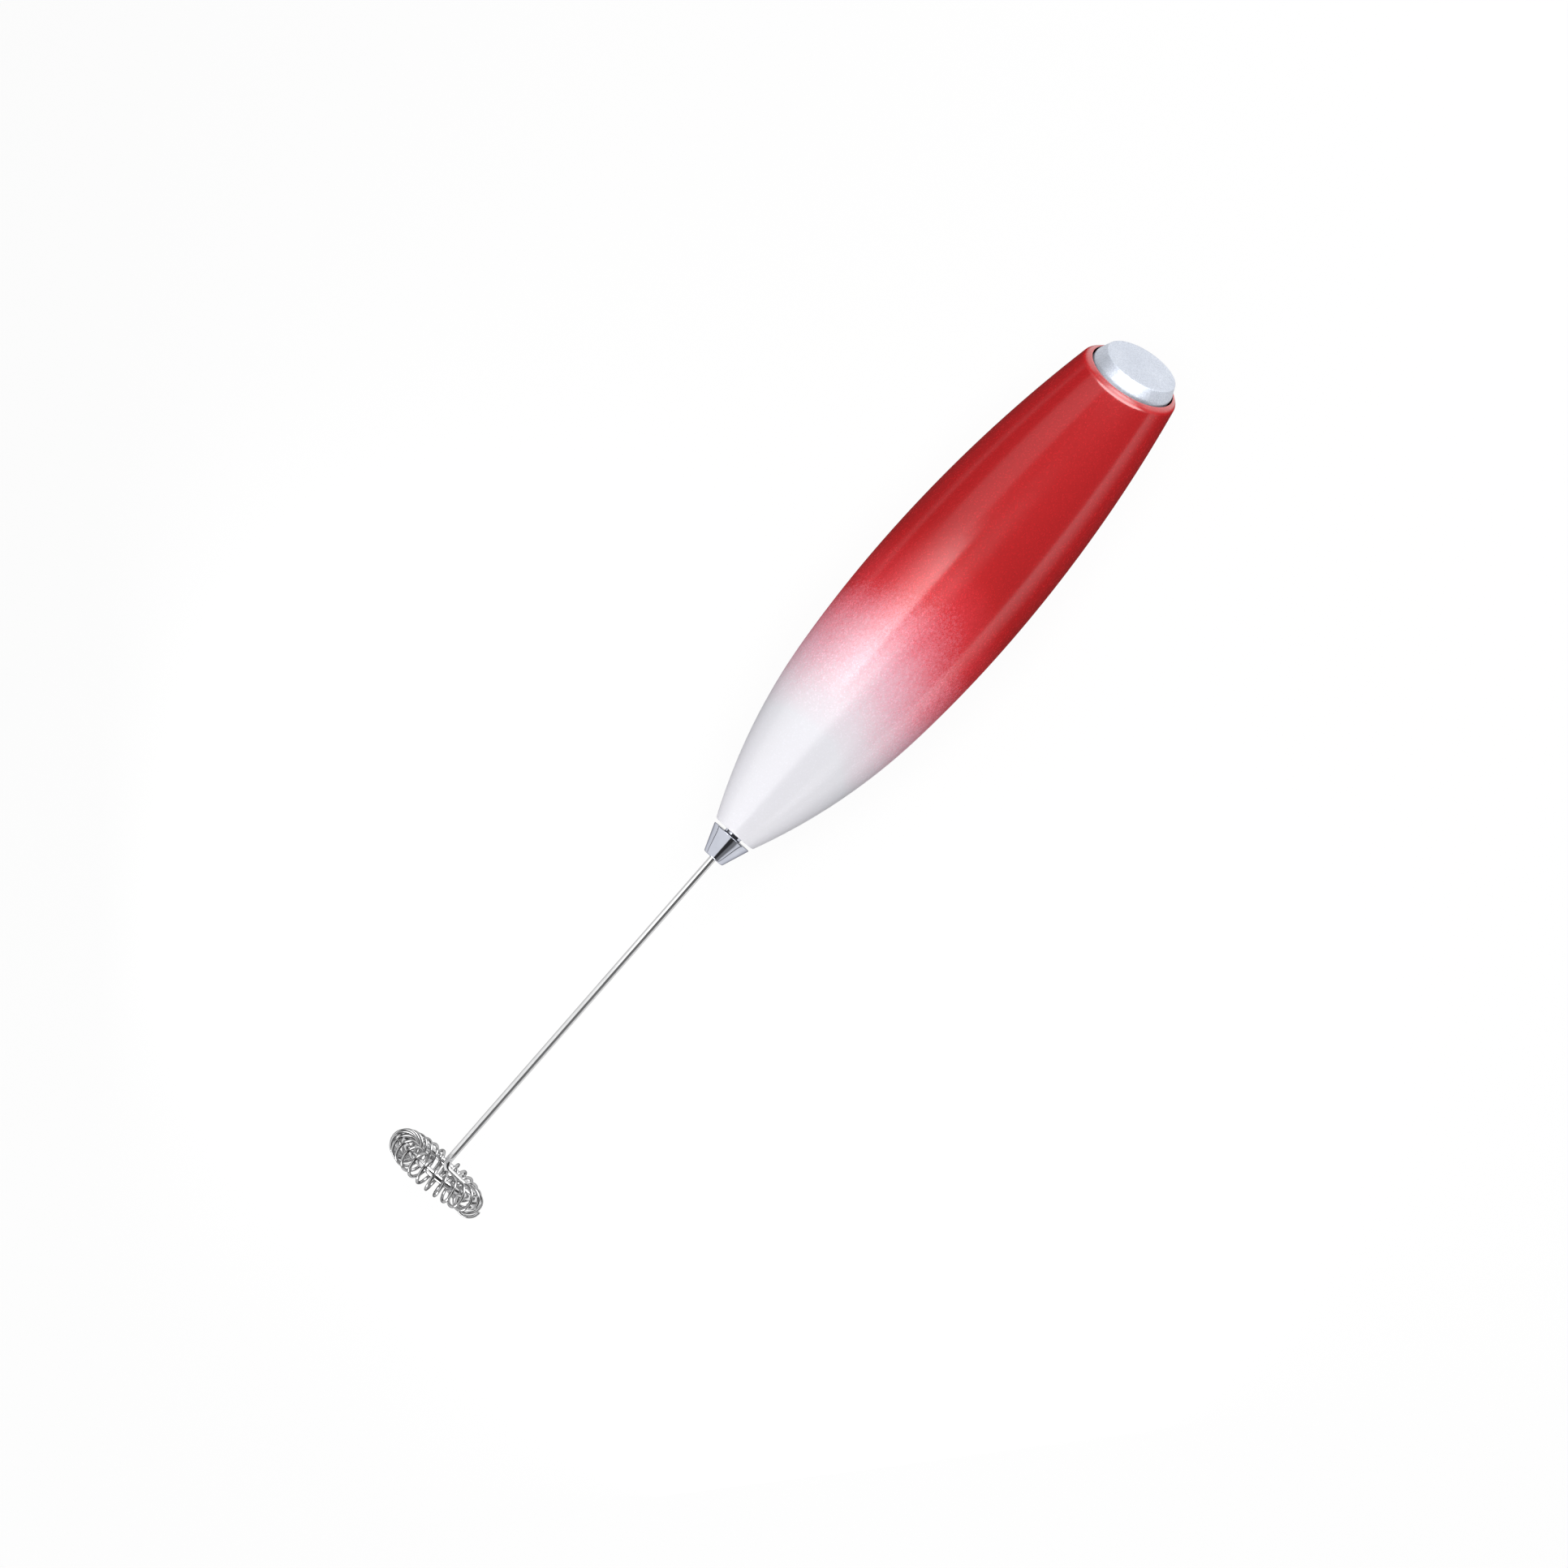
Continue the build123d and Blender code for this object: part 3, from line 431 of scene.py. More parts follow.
# Sprayed paint: lengths along the handle in metres, depths in millimetres
FADE_START, FADE_END = 0.034, 0.087  # where the red starts, and where it covers
FADE_BOW = 0.009  # how much nearer the nose the red reaches at the sides
FADE_DRIFT = 0.010  # how far the fade wanders
DEEP_START, DEEP_END = 0.085, 0.138  # where the red deepens towards the button
DEEP_SHARE = 0.45
GLOSSY_RIM = (-0.9, -0.2)  # heights against the rim plane over which the coat gathers
PAINT_DEPTH = (0.45, 0.7)  # how far the paint reaches round the shell's edges
BORE_EDGE = (0.09, 0.02)  # past the button opening's wall: where the painted shade of the gap starts, and where it is full
LIP_ROOM = 0.1  # the bare inside ends this far past the opening's lip
BORE_START = LIP_STATION - 1.0
BARE_START = WALL * 0.7  # the nose face is painted


def bore_gap_shade(shader, along):
    """One on the wall of the button opening, which is painted dark as the shade in the gap round the
    button.
    """
    edge_start, edge_end = ((OPENING_RADIUS + room) * MM for room in BORE_EDGE)
    wall = shader.span(shader.off_axis(BUTTON_SHIFT * MM), edge_start, edge_end)
    return shader.times(wall, shader.math("GREATER_THAN", along, BORE_START * MM))


def outside_radius(shader, along):
    """Radius of the handle's outside, over the three arcs of its profile."""
    outer = None
    for start, (station, level), curve in (
        (0.0, NOSE_CENTRE, NOSE_CURVE),
        (SHOULDER_STATION, FLANK_CENTRE, FLANK_CURVE),
        (BELLY_STATION, CROWN_CENTRE, CROWN_CURVE),
    ):
        run = shader.math("POWER", shader.minus(along, station * MM), 2.0)
        square = shader.minus((curve * MM) ** 2, run)
        rise = shader.math("SQRT", shader.math("MAXIMUM", square, 0.0))
        radius = shader.math("ADD", rise, level * MM)
        if outer is None:
            outer = radius
        else:
            past = shader.math("GREATER_THAN", along, start * MM)
            change = shader.minus(radius, outer)
            outer = shader.times(past, change, outer)
    return outer


def inside_share(shader, along):
    """One inside the shell, where the bare plastic shows."""
    depth = shader.minus(outside_radius(shader, along), shader.off_axis(0.0))
    # The cover is bare up to its end, the housing up to the button opening
    back = shader.math("LESS_THAN", shader.axis("Z"), 0.0)
    cover_reach = (COVER_END - LIP_STATION) * MM
    end = shader.times(back, cover_reach, (LIP_STATION + LIP_ROOM) * MM)
    past_nose = shader.math("GREATER_THAN", along, BARE_START * MM)
    within = shader.times(past_nose, shader.math("LESS_THAN", along, end))
    deep = shader.span(depth, PAINT_DEPTH[0] * MM, PAINT_DEPTH[1] * MM)
    return shader.times(deep, within)


def paint():
    """Sprayed paint that fades from red to pearl white, with fine flakes under a clear coat."""
    shader = Shader(
        "handle_paint",
        Specular_IOR_Level=0.0, Specular_Tint=EDGE_TINT, Coat_Roughness=0.18, Coat_IOR=2.0,
    )
    along = shader.axis("X")
    inside = inside_share(shader, along)
    painted = shader.minus(1.0, inside)
    # The clear coat loses its gloss towards the silhouette and gathers on the rim round the button
    facing = shader.node("ShaderNodeLayerWeight")
    facing.inputs["Blend"].default_value = 0.5
    gloss = shader.span(facing.outputs["Facing"], 0.12, 0.5, 1.0, 0.03, smooth=True)
    slanted = shader.times(shader.axis("Z"), SLOPE, along)
    above_rim = shader.minus(slanted, RIM_STATION * MM)
    rim_gloss = shader.span(above_rim, GLOSSY_RIM[0] * MM, GLOSSY_RIM[1] * MM, smooth=True)
    coat = shader.math("MAXIMUM", gloss, rim_gloss)
    shader.feed("Coat Weight", shader.times(coat, painted))
    drift = shader.noise(55.0, 2.0)
    mist = shader.noise(1500.0, 2.0, 0.65)
    drops = shader.noise(4200.0, 1.0, 0.5)
    wander = shader.times(drift, FADE_DRIFT, along)
    # The fade is bowed: the red reaches further towards the nose at the sides
    across = shader.math("POWER", shader.axis("Y"), 2.0)
    wander = shader.times(across, FADE_BOW / (BELLY_RADIUS * MM) ** 2, wander)
    spray = shader.span(wander, FADE_START, FADE_END)
    spread = shader.times(mist, 0.22, -0.11)
    dots = shader.times(drops, 0.26, -0.13)
    edge = shader.math("ADD", spread, dots)
    # Spatter only shows where the spray is neither bare nor full
    open_share = shader.times(spray, shader.minus(1.0, spray))
    scatter = shader.times(edge, shader.times(open_share, 4.0))
    cover_share = shader.math("ADD", spray, scatter, clamp=True)
    colour = shader.ramp(cover_share, [
        (0.00, linear(243, 242, 248)),
        (0.14, linear(247, 231, 240)),
        (0.34, linear(252, 190, 206)),
        (0.54, linear(252, 134, 149)),
        (0.71, linear(233, 62, 70)),
        (0.90, linear(208, 42, 45)),
        (1.00, linear(200, 39, 42)),
    ])
    deep = shader.span(along, DEEP_START, DEEP_END, smooth=True)
    colour = shader.mix(shader.times(deep, DEEP_SHARE), colour, linear(192, 36, 40))
    flakes = shader.cells(3600.0)
    glint = shader.axis("X", flakes)
    # Flakes show in the red and hardly in the white: a random tone, with the brightest cells lit up as
    # painted glints
    body = shader.span(cover_share, 0.0, 0.5, 0.12, 1.0)
    flake_tone_and_glints = shader.ramp(
        glint, [(0.0, (0.91, 0.91, 0.91)), (0.80, (1.0, 1.0, 1.0)), (1.0, (1.30, 1.30, 1.34))]
    )
    colour = shader.mix(body, colour, flake_tone_and_glints, "MULTIPLY")
    # Painted shade: the opening's wall is coloured dark red as the gap round the button lies in shadow
    colour = shader.mix(bore_gap_shade(shader, along), colour, linear(58, 12, 14))
    flow = shader.noise(70.0, 3.0)
    bare = shader.ramp(flow, [(0.3, linear(214, 212, 208)), (0.7, linear(226, 224, 220))])
    colour = shader.mix(inside, colour, bare)
    shader.feed("Base Color", colour)
    shader.feed("Roughness", shader.span(glint, 0.0, 1.0, 0.50, 0.34))
    pigment = shader.span(cover_share, 0.35, 1.0, 0.0, 0.03)
    spark = shader.times(body, shader.span(glint, 0.86, 1.0, 0.0, 0.35))
    shader.feed("Metallic", shader.times(shader.math("ADD", pigment, spark), painted))
    shader.feed("Normal", shader.bump(glint, 0.10, 0.00006))
    orange_peel = shader.noise(420.0, 1.0)
    shader.feed("Coat Normal", shader.bump(orange_peel, 0.05, 0.0002))
    return shader.material


def silver():
    """Silver lacquer on the button: fine bright flakes and a soft sheen."""
    shader = Shader("button_silver", Metallic=0.6)
    flakes = shader.axis("X", shader.cells(4600.0))
    cloud = shader.noise(160.0, 3.0)
    tone = shader.times(flakes, 0.5, shader.times(cloud, 0.5))
    shader.feed("Base Color", shader.ramp(tone, [
        (0.2, linear(190, 196, 207)), (0.55, linear(206, 212, 224)), (0.9, linear(228, 233, 242)),
    ]))
    shader.feed("Roughness", shader.span(tone, 0.1, 0.9, 0.50, 0.40))
    shader.feed("Normal", shader.bump(flakes, 0.06, 0.00005))
    return shader.material


def chrome():
    """Polished plating with faint turning marks and hazy spots."""
    shader = Shader("chrome_collar", Metallic=1.0, Specular_Tint=EDGE_TINT)
    haze = shader.noise(230.0, 4.0)
    marks = shader.noise(60.0, 3.0, 0.6, shader.stretch(160.0, 1.0, 1.0))
    shader.two_tone(haze, (196, 199, 210), (208, 211, 222))
    shader.feed("Roughness", shader.span(marks, 0.25, 0.75, 0.04, 0.09))
    shader.feed("Normal", shader.bump(marks, 0.03, 0.00004))
    return shader.material


def steel(name, light, dark, grain, low, high):
    """Drawn or rolled bare metal, in two screen colours, with fine lines and cloudy tone."""
    shader = Shader(name, Metallic=1.0, Specular_Tint=BARE_EDGE_TINT)
    cloud = shader.noise(300.0, 3.0)
    lines = shader.noise(90.0, 4.0, 0.6, shader.stretch(*grain))
    tone = shader.times(lines, 0.6, shader.times(cloud, 0.4))
    shader.two_tone(tone, dark, light)
    shader.feed("Roughness", shader.span(tone, 0.25, 0.75, low, high))
    shader.feed("Normal", shader.bump(lines, 0.08, 0.00005))
    return shader.material


def plastic(name, light, dark, roughness, grain=2600.0):
    """Moulded plastic, in two screen colours: fine spark-eroded grain, slight flow marks."""
    shader = Shader(name, Metallic=0.0)
    flow = shader.noise(45.0, 3.0, 0.5, shader.stretch(1.0, 2.5, 2.5))
    skin = shader.noise(grain, 2.0)
    shader.two_tone(flow, dark, light)
    shader.feed("Roughness", shader.span(skin, 0.3, 0.7, roughness - 0.06, roughness + 0.08))
    shader.feed("Normal", shader.bump(skin, 0.16, 0.00008))
    return shader.material


def cell_wrap(name, nub_station, way):
    """Plain wrap of a cell: a graphite jacket with a pale band at the nub's end and bare metal ends."""
    shader = Shader(name, Coat_Weight=0.3, Coat_Roughness=0.15)
    ahead = shader.minus(nub_station * MM, shader.axis("X"))
    from_nub = shader.times(ahead, way)
    wear = shader.noise(900.0, 3.0)
    cloud = shader.noise(120.0, 2.0)
    position = shader.span(from_nub, 0.0, CELL_LENGTH * MM)
    jacket = shader.ramp(position, [
        (0.0, linear(190, 188, 184)),
        (0.042, linear(176, 178, 184)),
        (0.240, linear(46, 56, 70)),
        (0.960, linear(40, 49, 62)),
        (0.985, linear(186, 184, 180)),
    ], "CONSTANT")
    shade = shader.ramp(cloud, [(0.3, (0.92, 0.92, 0.92)), (0.7, (1.0, 1.0, 1.0))])
    shader.feed("Base Color", shader.mix(1.0, jacket, shade, "MULTIPLY"))
    bare = shader.ramp(
        position, [(0.0, (1, 1, 1)), (0.042, (0.35, 0.35, 0.35)), (0.985, (1, 1, 1))], "CONSTANT"
    )
    shader.feed("Metallic", bare)
    shader.feed("Roughness", shader.span(wear, 0.3, 0.7, 0.26, 0.42))
    shader.feed("Normal", shader.bump(wear, 0.05, 0.00006))
    return shader.material


def laminate():
    """Green solder mask over glass cloth."""
    shader = Shader("board_laminate", Roughness=0.35, Coat_Weight=0.25, Coat_Roughness=0.2)
    weave = shader.waves("Y", 900.0, 0.4)
    cross = shader.waves("Z", 900.0, 0.4)
    cloth = shader.times(weave, cross)
    shader.two_tone(cloth, (26, 74, 40), (40, 98, 55), 0.0, 1.0)
    shader.feed("Normal", shader.bump(cloth, 0.12, 0.00005))
    return shader.material


def copper():
    """Enamelled copper wire laid side by side round the poles."""
    shader = Shader(
        "winding_copper", Metallic=0.9, Roughness=0.34, Coat_Weight=0.4, Coat_Roughness=0.2
    )
    strands = shader.waves("Z", 700.0, 0.6, 1.0)
    shader.two_tone(strands, (122, 58, 28), (196, 112, 66), 0.0, 1.0)
    shader.feed("Normal", shader.bump(strands, 0.35, 0.0001))
    return shader.material


ALONG_AXIS = (1.0, 30.0, 30.0)
EVEN = (12.0, 12.0, 12.0)
SHEETS = (90.0, 1.0, 1.0)
cell_low, cell_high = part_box("cell_left")
for material, names in (
    (plastic("frame_plastic", (232, 231, 226), (220, 219, 214), 0.46), "inner_frame"),
    (
        steel("screw_steel", (150, 152, 156), (112, 114, 120), EVEN, 0.28, 0.42),
        "frame_screws motor_shaft",
    ),
    (cell_wrap("cell_wrap_left", cell_high.x / MM, 1.0), "cell_left"),
    (cell_wrap("cell_wrap_right", cell_low.x / MM, -1.0), "cell_right"),
    (
        steel("contact_nickel", (206, 200, 188), (176, 170, 158), EVEN, 0.20, 0.34),
        "spring_contact_lower spring_contact_upper plate_contact_lower plate_contact_upper",
    ),
    (laminate(), "switch_board"),
    (plastic("switch_plastic", (38, 38, 41), (26, 26, 29), 0.44), "switch_body"),
    (
        plastic("motor_plastic", (236, 233, 220), (222, 218, 204), 0.42),
        "switch_plunger motor_end_cap",
    ),
    (steel("motor_steel", (182, 184, 186), (150, 152, 155), ALONG_AXIS, 0.26, 0.40), "motor_can"),
    (plastic("magnet_ferrite", (54, 54, 58), (36, 36, 40), 0.62, 1500.0), "motor_magnets"),
    (
        steel("bush_bronze", (176, 138, 92), (138, 102, 64), EVEN, 0.36, 0.52),
        "motor_brushes motor_front_bush motor_rear_bush nose_bush",
    ),
    (steel("core_iron", (112, 112, 114), (74, 74, 78), SHEETS, 0.38, 0.55), "armature_core"),
    (copper(), "armature_windings commutator"),
):
    for node_name in names.split():
        for entry in nodes[node_name].material_slots:
            entry.material = material

paint_material = paint()
silver_material = silver()
chrome_material = chrome()
wire_material = steel("whisk_steel", (236, 236, 237), (216, 216, 217), ALONG_AXIS, 0.08, 0.17)
coil_material = steel("coil_steel", (206, 206, 207), (168, 168, 169), EVEN, 0.08, 0.16)


# Handle shell

TURNS = 96  # steps over half a turn
EDGE = 0.18  # rounding along the seams
SEAM_BAND = EDGE * 3
BAND_SHARES = (0.0, 0.02, 0.06, 0.12, 0.2, 0.32)
SIDE_START = NOSE_EDGE * 1.6
HOLE_EDGE, HOLE_EDGE_MIDDLE = 0.25, 0.07
BEVEL_ROUNDING = 0.5
RIM_ROUNDING = 0.16
BORE_ROUNDING = 0.12
OUTER_FALL = 12.0  # how far the crown's grid reaches down at the front, outside
BORE_FALL = 4.0  # the same in the button opening
SIDE_STEPS = 150
INSIDE_STEPS = 70
CROWN_STEPS = 16
BORE_STEPS = 8
LIP_STEPS = 5
SCREW_HEAD = 1.9  # radius, from the screws' box to their axes
BOSS_RADIUS = 2.13
BOSS_FOOT = 2.0
BOSS_TURNS = 32


def stations(start, stop, count):
    """Evenly spaced stations, both ends included."""
    return [start + (stop - start) * step / (count - 1) for step in range(count)]


def side_line(start, stop, count, inset=0.0):
    """Points along the handle's side, moved in by inset."""
    return [(x, radius_at(x, inset)) for x in stations(start, stop, count)]


def level_line(start, stop, count, radius):
    """Points along the axis at one radius."""
    return [(x, radius) for x in stations(start, stop, count)]


def seam_shares():
    """Shares of half a turn, in finer steps near the seams at both ends."""
    fine = [share * SEAM_BAND / (math.pi * BELLY_RADIUS) for share in BAND_SHARES]
    even = [step / TURNS for step in range(TURNS + 1)]
    middle = [share for share in even if fine[-1] < share < 1 - fine[-1]]
    return fine + middle + [1 - share for share in reversed(fine)]


def seam_drop(distance):
    """How far the outside is drawn in near a seam's edge."""
    if distance >= EDGE:
        return 0.0
    return EDGE - math.sqrt(EDGE**2 - (EDGE - distance) ** 2)


def nose_profile():
    """Nose face and its rounded edge, from the hole out to where the side starts."""
    side = (SIDE_START, radius_at(SIDE_START))
    points = [
        (HOLE_EDGE, NOSE_HOLE),
        (HOLE_EDGE_MIDDLE, NOSE_HOLE + HOLE_EDGE_MIDDLE),
        (0.0, NOSE_HOLE + HOLE_EDGE),
    ]
    return points + rounded((0.0, radius_at(0.0)), (0.0, NOSE_HOLE), side, SIDE_START / 2, 6)


def bore_radius(turn):
    """Distance from the axis to the wall of the button opening."""
    return BUTTON_SHIFT * math.sin(turn) + math.sqrt(
        OPENING_RADIUS**2 - (BUTTON_SHIFT * math.cos(turn)) ** 2
    )


def rim_profile(turn):
    """From the bevel's start on the outside, over the rim, to the bore's upper edge."""
    station, radius = rim_point(turn)
    side_way = Vector((1.0, radius_at(station) - radius_at(station - 1.0))).normalized()
    rim_way = Vector((SLOPE * math.sin(turn), -1.0)).normalized()
    corner = Vector((station, radius))
    bevel_start = corner - side_way * RIM_BEVEL_DROP
    bevel_end = corner + rim_way * RIM_BEVEL_WIDTH
    bore = bore_radius(turn)
    inner = Vector((RIM_STATION - SLOPE * bore * math.sin(turn), bore))
    down = inner + Vector((-1.0, 0.0))
    points = rounded(bevel_start, bevel_start - side_way, bevel_end, BEVEL_ROUNDING, 5)
    points += rounded(bevel_end, bevel_start, inner, RIM_ROUNDING)
    points += rounded(inner, bevel_end, down, BORE_ROUNDING)
    return points


def mid_station(turn, fall):
    """Station between the handle's grid and the crown's: the cover's end at the back and sides."""
    return COVER_END - fall * max(0.0, math.sin(turn)) ** 2


def front_row(turn):
    """Section of the front housing in three runs: below the crown, round the crown, and inside."""
    split = mid_station(turn, OUTER_FALL)
    below = []
    for station, radius in nose_profile() + side_line(SIDE_START, split, SIDE_STEPS):
        away = radius * min(turn, math.pi - turn)
        below.append((station, radius - seam_drop(away)))
    rim = rim_profile(turn)
    bore = bore_radius(turn)
    bore_split = mid_station(turn, BORE_FALL)
    crown = side_line(split, rim[0][0], CROWN_STEPS)[1:-1] + rim
    crown += level_line(rim[-1][0], bore_split, BORE_STEPS, bore)[1:]
    inside = level_line(bore_split, LIP_STATION, LIP_STEPS, bore)[1:]
    inside += side_line(LIP_STATION, WALL, INSIDE_STEPS, WALL) + [(WALL, NOSE_HOLE)]
    return below, crown, inside


def back_row(turn):
    """Section of the crown's back, closed by a flat end where the cover meets it."""
    rim = rim_profile(turn)
    row = side_line(COVER_END, rim[0][0], CROWN_STEPS)[:-1]
    row[0] = (row[0][0] + EDGE * 0.3, row[0][1])
    row += rim + level_line(rim[-1][0], COVER_END, BORE_STEPS, bore_radius(turn))[1:]
    return row + [(COVER_END, radius_at(COVER_END) - EDGE)]


def screw_side(station):
    """How far to the side the screws at this station stand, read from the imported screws."""
    places = [vertex.co / MM for vertex in nodes["frame_screws"].data.vertices]
    near = [abs(place.y) for place in places if abs(place.x - station) < 2.0]
    return (min(near) + max(near)) / 2


def housing():
    """Front housing: half a shell with a closed crown round the button, and bosses for the screws."""
    front = [math.pi * share for share in seam_shares()]
    points = []
    for turn in front:
        below, crown, inside = front_row(turn)
        points += [polar(x, r, turn) for x, r in below + crown + inside]
    length = len(below) + len(crown) + len(inside)
    upper_first = len(below) - 1
    upper_last = upper_first + len(crown)
    last_row = (len(front) - 1) * length
    faces = grid_faces(0, len(front), length, close_columns=True)
    # Seam faces on both sides, up to the crown
    seam = [*range(upper_first + 1), *range(upper_last, length)]
    faces += [[first + index for index in seam] for first in (0, last_row)]
    # Back of the crown
    back = [math.pi + math.pi * step / TURNS for step in range(TURNS + 1)]
    start = len(points)
    for turn in back:
        row = back_row(turn)
        points += [polar(x, r, turn) for x, r in row]
    faces += grid_faces(start, len(back), len(row), close_columns=True)
    # Corners where the seam's rounding runs out into the crown
    faces.append((last_row + upper_first, last_row + upper_first + 1, start))
    faces.append((upper_first + 1, upper_first, start + (len(back) - 1) * len(row)))
    # Bosses for the frame's screws
    low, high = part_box("frame_screws")
    for station in (low.x / MM + SCREW_HEAD, high.x / MM - SCREW_HEAD):
        side_reach = screw_side(station)
        for side in (-side_reach, side_reach):
            foot, roof = [], []
            for turn in turns(BOSS_TURNS):
                x = station + BOSS_RADIUS * math.cos(turn)
                y = side + BOSS_RADIUS * math.sin(turn)
                inner = radius_at(x, WALL * 0.6)
                foot.append((x, y, BOSS_FOOT))
                roof.append((x, y, math.sqrt(max(inner**2 - y**2, BOSS_FOOT**2))))
            add_prism(points, faces, foot, roof)
    shape = points, faces
    make_object("housing_shell", shape, paint_material, "handle", "front_housing")


COVER_STEPS = 230
COVER_INSIDE_STEPS = 80
REST_WIDTH = 9.0
REST_LEVEL = math.sqrt(BELLY_RADIUS**2 - (REST_WIDTH / 2) ** 2)
THUMB_SETBACK = 9.0
THUMB_DEPTH = 0.6
THUMB_LENGTH = 4.5
THUMB_WIDTH = 6.0
TAB_STATIONS = (58.0, 82.0)
TAB_LENGTH = 9.0
TAB_THICKNESS = 0.9
TAB_RISE = 2.0
TAB_ROOT = 3.0
TAB_ROOM = 0.3


def thumb_dip(station, side):
    """Depth of the thumb scoop on the cover's back."""
    along = (station - COVER_END + THUMB_SETBACK) / THUMB_LENGTH
    share = 1.0 - along**2 - (side / THUMB_WIDTH) ** 2
    return THUMB_DEPTH * min(1.0, share * 1.6) if share > 0 else 0.0


def cover():
    """Battery cover: the back half of the shell, with its locating tabs."""
    end = COVER_END - SEAM_GAP
    last = radius_at(end)
    outer = nose_profile() + side_line(SIDE_START, end - 0.3, COVER_STEPS)
    outer += [(end - 0.1, last - 0.01), (end - 0.02, last - 0.07), (end, last - EDGE)]
    loop = outer + side_line(end, WALL, COVER_INSIDE_STEPS, WALL) + [(WALL, NOSE_HOLE)]
    shares = seam_shares()
    points = []
    for share in shares:
        for index, (station, radius) in enumerate(loop):
            lift = math.asin(SEAM_GAP / radius)
            turn = math.pi + lift + (math.pi - 2 * lift) * share
            if index < len(outer):
                away = radius * math.pi * min(share, 1 - share)
                radius -= seam_drop(away) + thumb_dip(station, radius * math.cos(turn))
                radius = min(radius, REST_LEVEL / max(-math.sin(turn), 0.01))
            points.append(polar(station, radius, turn))
    count = len(loop)
    faces = grid_faces(0, len(shares), count, close_columns=True)
    faces.append(list(range(count)))
    faces.append([(len(shares) - 1) * count + index for index in range(count)])
    # Tabs, placed by the narrowest section that they reach
    tab_reach = TAB_STATIONS[1] + TAB_LENGTH / 2 - BELLY_STATION
    fall = FLANK_CURVE - math.sqrt(FLANK_CURVE**2 - tab_reach**2)
    outside = math.sqrt((BELLY_RADIUS - WALL - fall) ** 2 - TAB_RISE**2) - TAB_ROOM
    inner = outside - TAB_THICKNESS
    foot = BELLY_RADIUS - WALL / 2 - fall
    shape = [
        (inner + 0.2, TAB_RISE), (outside - 0.35, TAB_RISE), (outside, TAB_RISE - 0.6),
        (outside, -SEAM_GAP), (foot, -SEAM_GAP - 0.05), (foot, -TAB_ROOT),
        (inner, -TAB_ROOT), (inner, TAB_RISE - 0.2),
    ]
    for station in TAB_STATIONS:
        for way in (-1, 1):
            ends = [
                [(station + half, way * y, z) for y, z in shape]
                for half in (-TAB_LENGTH / 2, TAB_LENGTH / 2)
            ]
            add_prism(points, faces, *ends)
    shape = points, faces
    make_object("cover_shell", shape, paint_material, "cover", "battery_cover")


BUTTON_TURNS = 160
TOP_RADII = (0.0, 2.0, 4.0, 6.0, 7.5)
ROOF_RADII = (4.0, 0.0)
ROOF_DROP = BUTTON_WALL * math.sqrt(1 + SLOPE**2)
TOP_ROUNDING = 0.22
BEVEL_FOOT_ROUNDING = 0.4
SKIRT_STEPS = 6
HOLLOW_STEPS = 5
HOLDER_REACH = 3.0  # how far the boss holds the plunger's end
HOLDER_BORE = 1.8
HOLDER_RADIUS = 3.2
HOLDER_TURNS = 48


def button_plane(radius, turn, drop=0.0):
    """Station of the button's slanted top, or of a plane below it."""
    return RIM_STATION + BUTTON_PROUD - drop - SLOPE * (BUTTON_SHIFT + radius * math.sin(turn))


def button():
    """Push button: slanted bevelled top on a round skirt with a flange, hollow below."""
    flange_end = FLANGE_START + FLANGE_THICKNESS
    flange_radius = OPENING_RADIUS + FLANGE_WIDTH
    inner_radius = BUTTON_RADIUS - BUTTON_WALL
    points = []
    for turn in turns(BUTTON_TURNS):
        corner = Vector((button_plane(BUTTON_RADIUS, turn), BUTTON_RADIUS))
        inward = Vector((SLOPE * math.sin(turn), -1.0)).normalized()
        bevel_end = corner + inward * BUTTON_BEVEL_WIDTH
        bevel_start = corner + Vector((-BUTTON_BEVEL_DROP, 0.0))
        row = [(button_plane(radius, turn), radius) for radius in TOP_RADII]
        row += rounded(bevel_end, row[-1], bevel_start, TOP_ROUNDING, 5)
        low = (flange_end, BUTTON_RADIUS)
        row += rounded(bevel_start, bevel_end, low, BEVEL_FOOT_ROUNDING, 5)
        row += level_line(row[-1][0], flange_end, SKIRT_STEPS, BUTTON_RADIUS)[1:]
        row += [(flange_end, flange_radius), (FLANGE_START, flange_radius)]
        roof = button_plane(inner_radius, turn, ROOF_DROP)
        row += level_line(FLANGE_START, roof, HOLLOW_STEPS, inner_radius)
        row += [(button_plane(radius, turn, ROOF_DROP), radius) for radius in ROOF_RADII]
        points += [polar(x, r, turn, BUTTON_SHIFT) for x, r in row]
    faces = grid_faces(0, BUTTON_TURNS, len(row), close_rows=True)
    # Boss that holds the plunger
    holder_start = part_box("switch_plunger")[1].x / MM - HOLDER_REACH
    first = len(points)
    for high, radius in (
        (False, HOLDER_BORE), (False, HOLDER_RADIUS), (True, HOLDER_RADIUS), (True, HOLDER_BORE)
    ):
        for turn in turns(HOLDER_TURNS):
            roof = button_plane(radius, turn, ROOF_DROP * 0.6)
            points.append(polar(roof if high else holder_start, radius, turn, BUTTON_SHIFT))
    faces += grid_faces(first, 4, HOLDER_TURNS, close_rows=True, close_columns=True)
    shape = points, faces
    make_object("button_top", shape, silver_material, "button", "button_cap", 50.0)


CONE_TOP = -0.8  # a running gap is left below the nose
CONE_RADIUS = 5.0
TIP_RADIUS = 2.6
NECK_RADIUS = 2.1
SOCKET_RADIUS, SOCKET_DEPTH = 0.83, 12.1  # for the whisk's wire
BORE_RADIUS, BORE_DEPTH = 1.03, 7.6  # for the motor's shaft
COLLAR_TURNS = 144
LONGEST_RUN = 1.2


